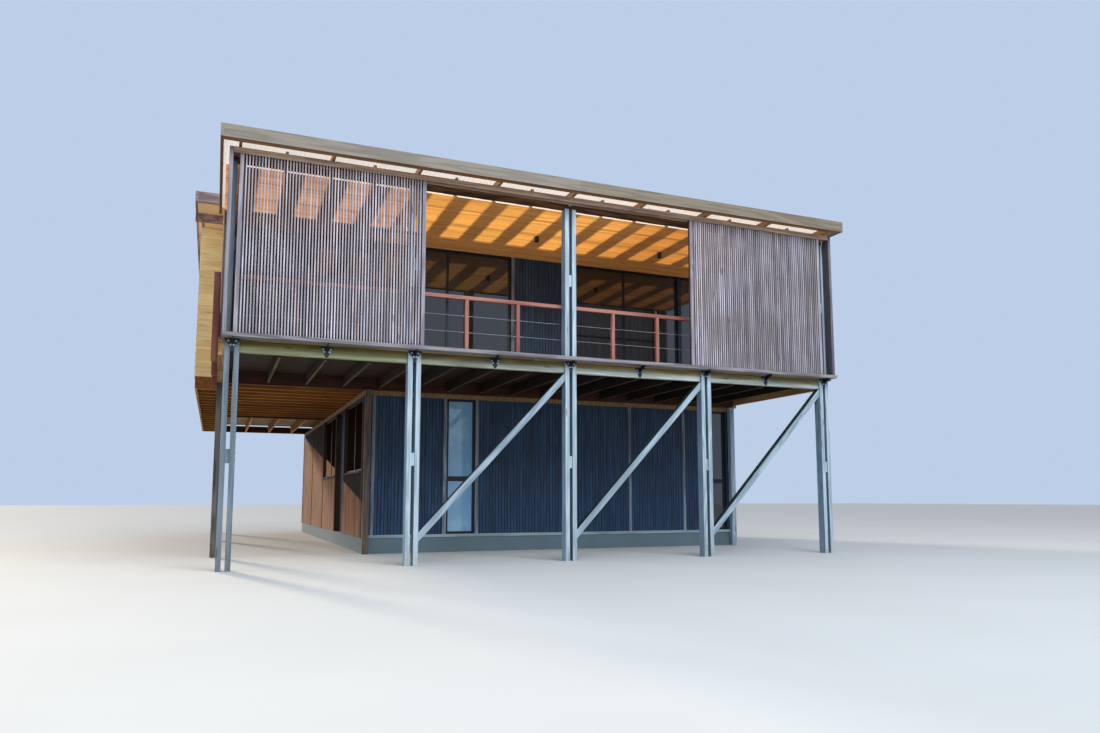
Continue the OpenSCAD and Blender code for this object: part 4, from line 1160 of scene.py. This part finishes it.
for node, finish in DRESSED.items():
    dressed(node, finish, FINE_EDGE if node in FINE_EDGED else SAWN_EDGE,
            CORNER_CUT if "fascia" in node else 0.0)

lower_boards()
upper_boards()
lap_boards()
lower_panes()
floor_boards()
roof_sheet("clear_sheets", "verandah_roof", "clear_sheet", 0.0)
roof_sheet("steel_sheets", "main_roof", "roof_steel", MAIN_FALL)
sliding_screen("left_screen", 21)
sliding_screen("right_screen", 23)
bolts()
wire_ends()
downlights()

# Nodes that are shown as they are, with a finish.
CARRIED = {
    **{storey + side + "_wall": DARK_SUBSTRATE
       for storey in ("lower", "upper") for side in ("_front", "_right", "_rear")},
    "carport_wall": BROWN_SUBSTRATE, "upper_left_wall": PALE_SUBSTRATE,
    "upper_floor": FLOOR_SHEET, "ground_slab": FINISHES["concrete"],
    "upper_glass": FINISHES["window_glass"], "main_ceiling": LINING,
    "balustrade_wires": FINISHES["steel_wire"],
}
for node, material in CARRIED.items():
    frame["nodes"][node].data.materials[0] = material


# Floor, light and camera.

def pale_floor():
    """A plain floor that reaches the horizon."""
    bm = bmesh.new()
    bmesh.ops.create_grid(bm, x_segments=1, y_segments=1, size=150)
    mesh = as_mesh(bm, "pale_floor")
    material, tree, shader, place = start_material("pale_floor")
    cloud = noise(tree, place, 3.0, 0.5, 0.4)
    fill(tree, shader, {"Base Color": blend(tree, cloud, "bab8b1", "c4c2bb"),
                        "Roughness": 0.9})
    mesh.materials.append(material)
    new_object("pale_floor", mesh)


def add_light(name, kind, energy, hue, place, aim, **settings):
    """A light at a place, aimed at another."""
    data = bpy.data.lights.new(name, kind)
    for key, value in {"energy": energy, "color": hue, **settings}.items():
        setattr(data, key, value)
    obj = new_object(name, data)
    obj.location = place
    obj.rotation_euler = (Vector(aim) - Vector(place)).to_track_quat("-Z", "Y").to_euler()


def soft_light():
    """A pale sky, two soft boxes and a low sun from behind."""
    world = bpy.data.worlds.new("pale_sky")
    bpy.context.scene.world = world
    world.use_nodes = True
    fill(world.node_tree, world.node_tree.nodes["Background"],
         {"Color": (0.60, 0.73, 0.95, 1), "Strength": 0.85})
    add_light("low_sun", "SUN", 3.0, (1.0, 0.84, 0.64), (-9, 30, 11), (0, 0, 2), angle=0.12)
    add_light("front_softbox", "AREA", 6500, (0.85, 0.92, 1.0), (3, -26, 19), (0, 0, 3),
              size=14)
    add_light("left_softbox", "AREA", 1000, (1.0, 0.97, 0.92), (-22, -7, 8), (-3, 3, 3), size=8)


def add_camera():
    """The photograph's viewing angle."""
    photo_width, focal_length, sensor, shift = 1100, 816.1, 36, 0.0397
    eye, tilt, heading = Vector((-5.751, -13.089, 1.06)), 96.23, -22.23
    data = bpy.data.cameras.new("camera")
    data.sensor_width = sensor
    data.lens = focal_length / photo_width * sensor
    data.shift_y = shift
    obj = new_object("camera", data)
    obj.location = HOUSE + eye
    obj.rotation_euler = (math.radians(tilt), 0, math.radians(heading))
    bpy.context.scene.camera = obj


pale_floor()
soft_light()
add_camera()
bpy.context.scene.view_settings.view_transform = "Standard"
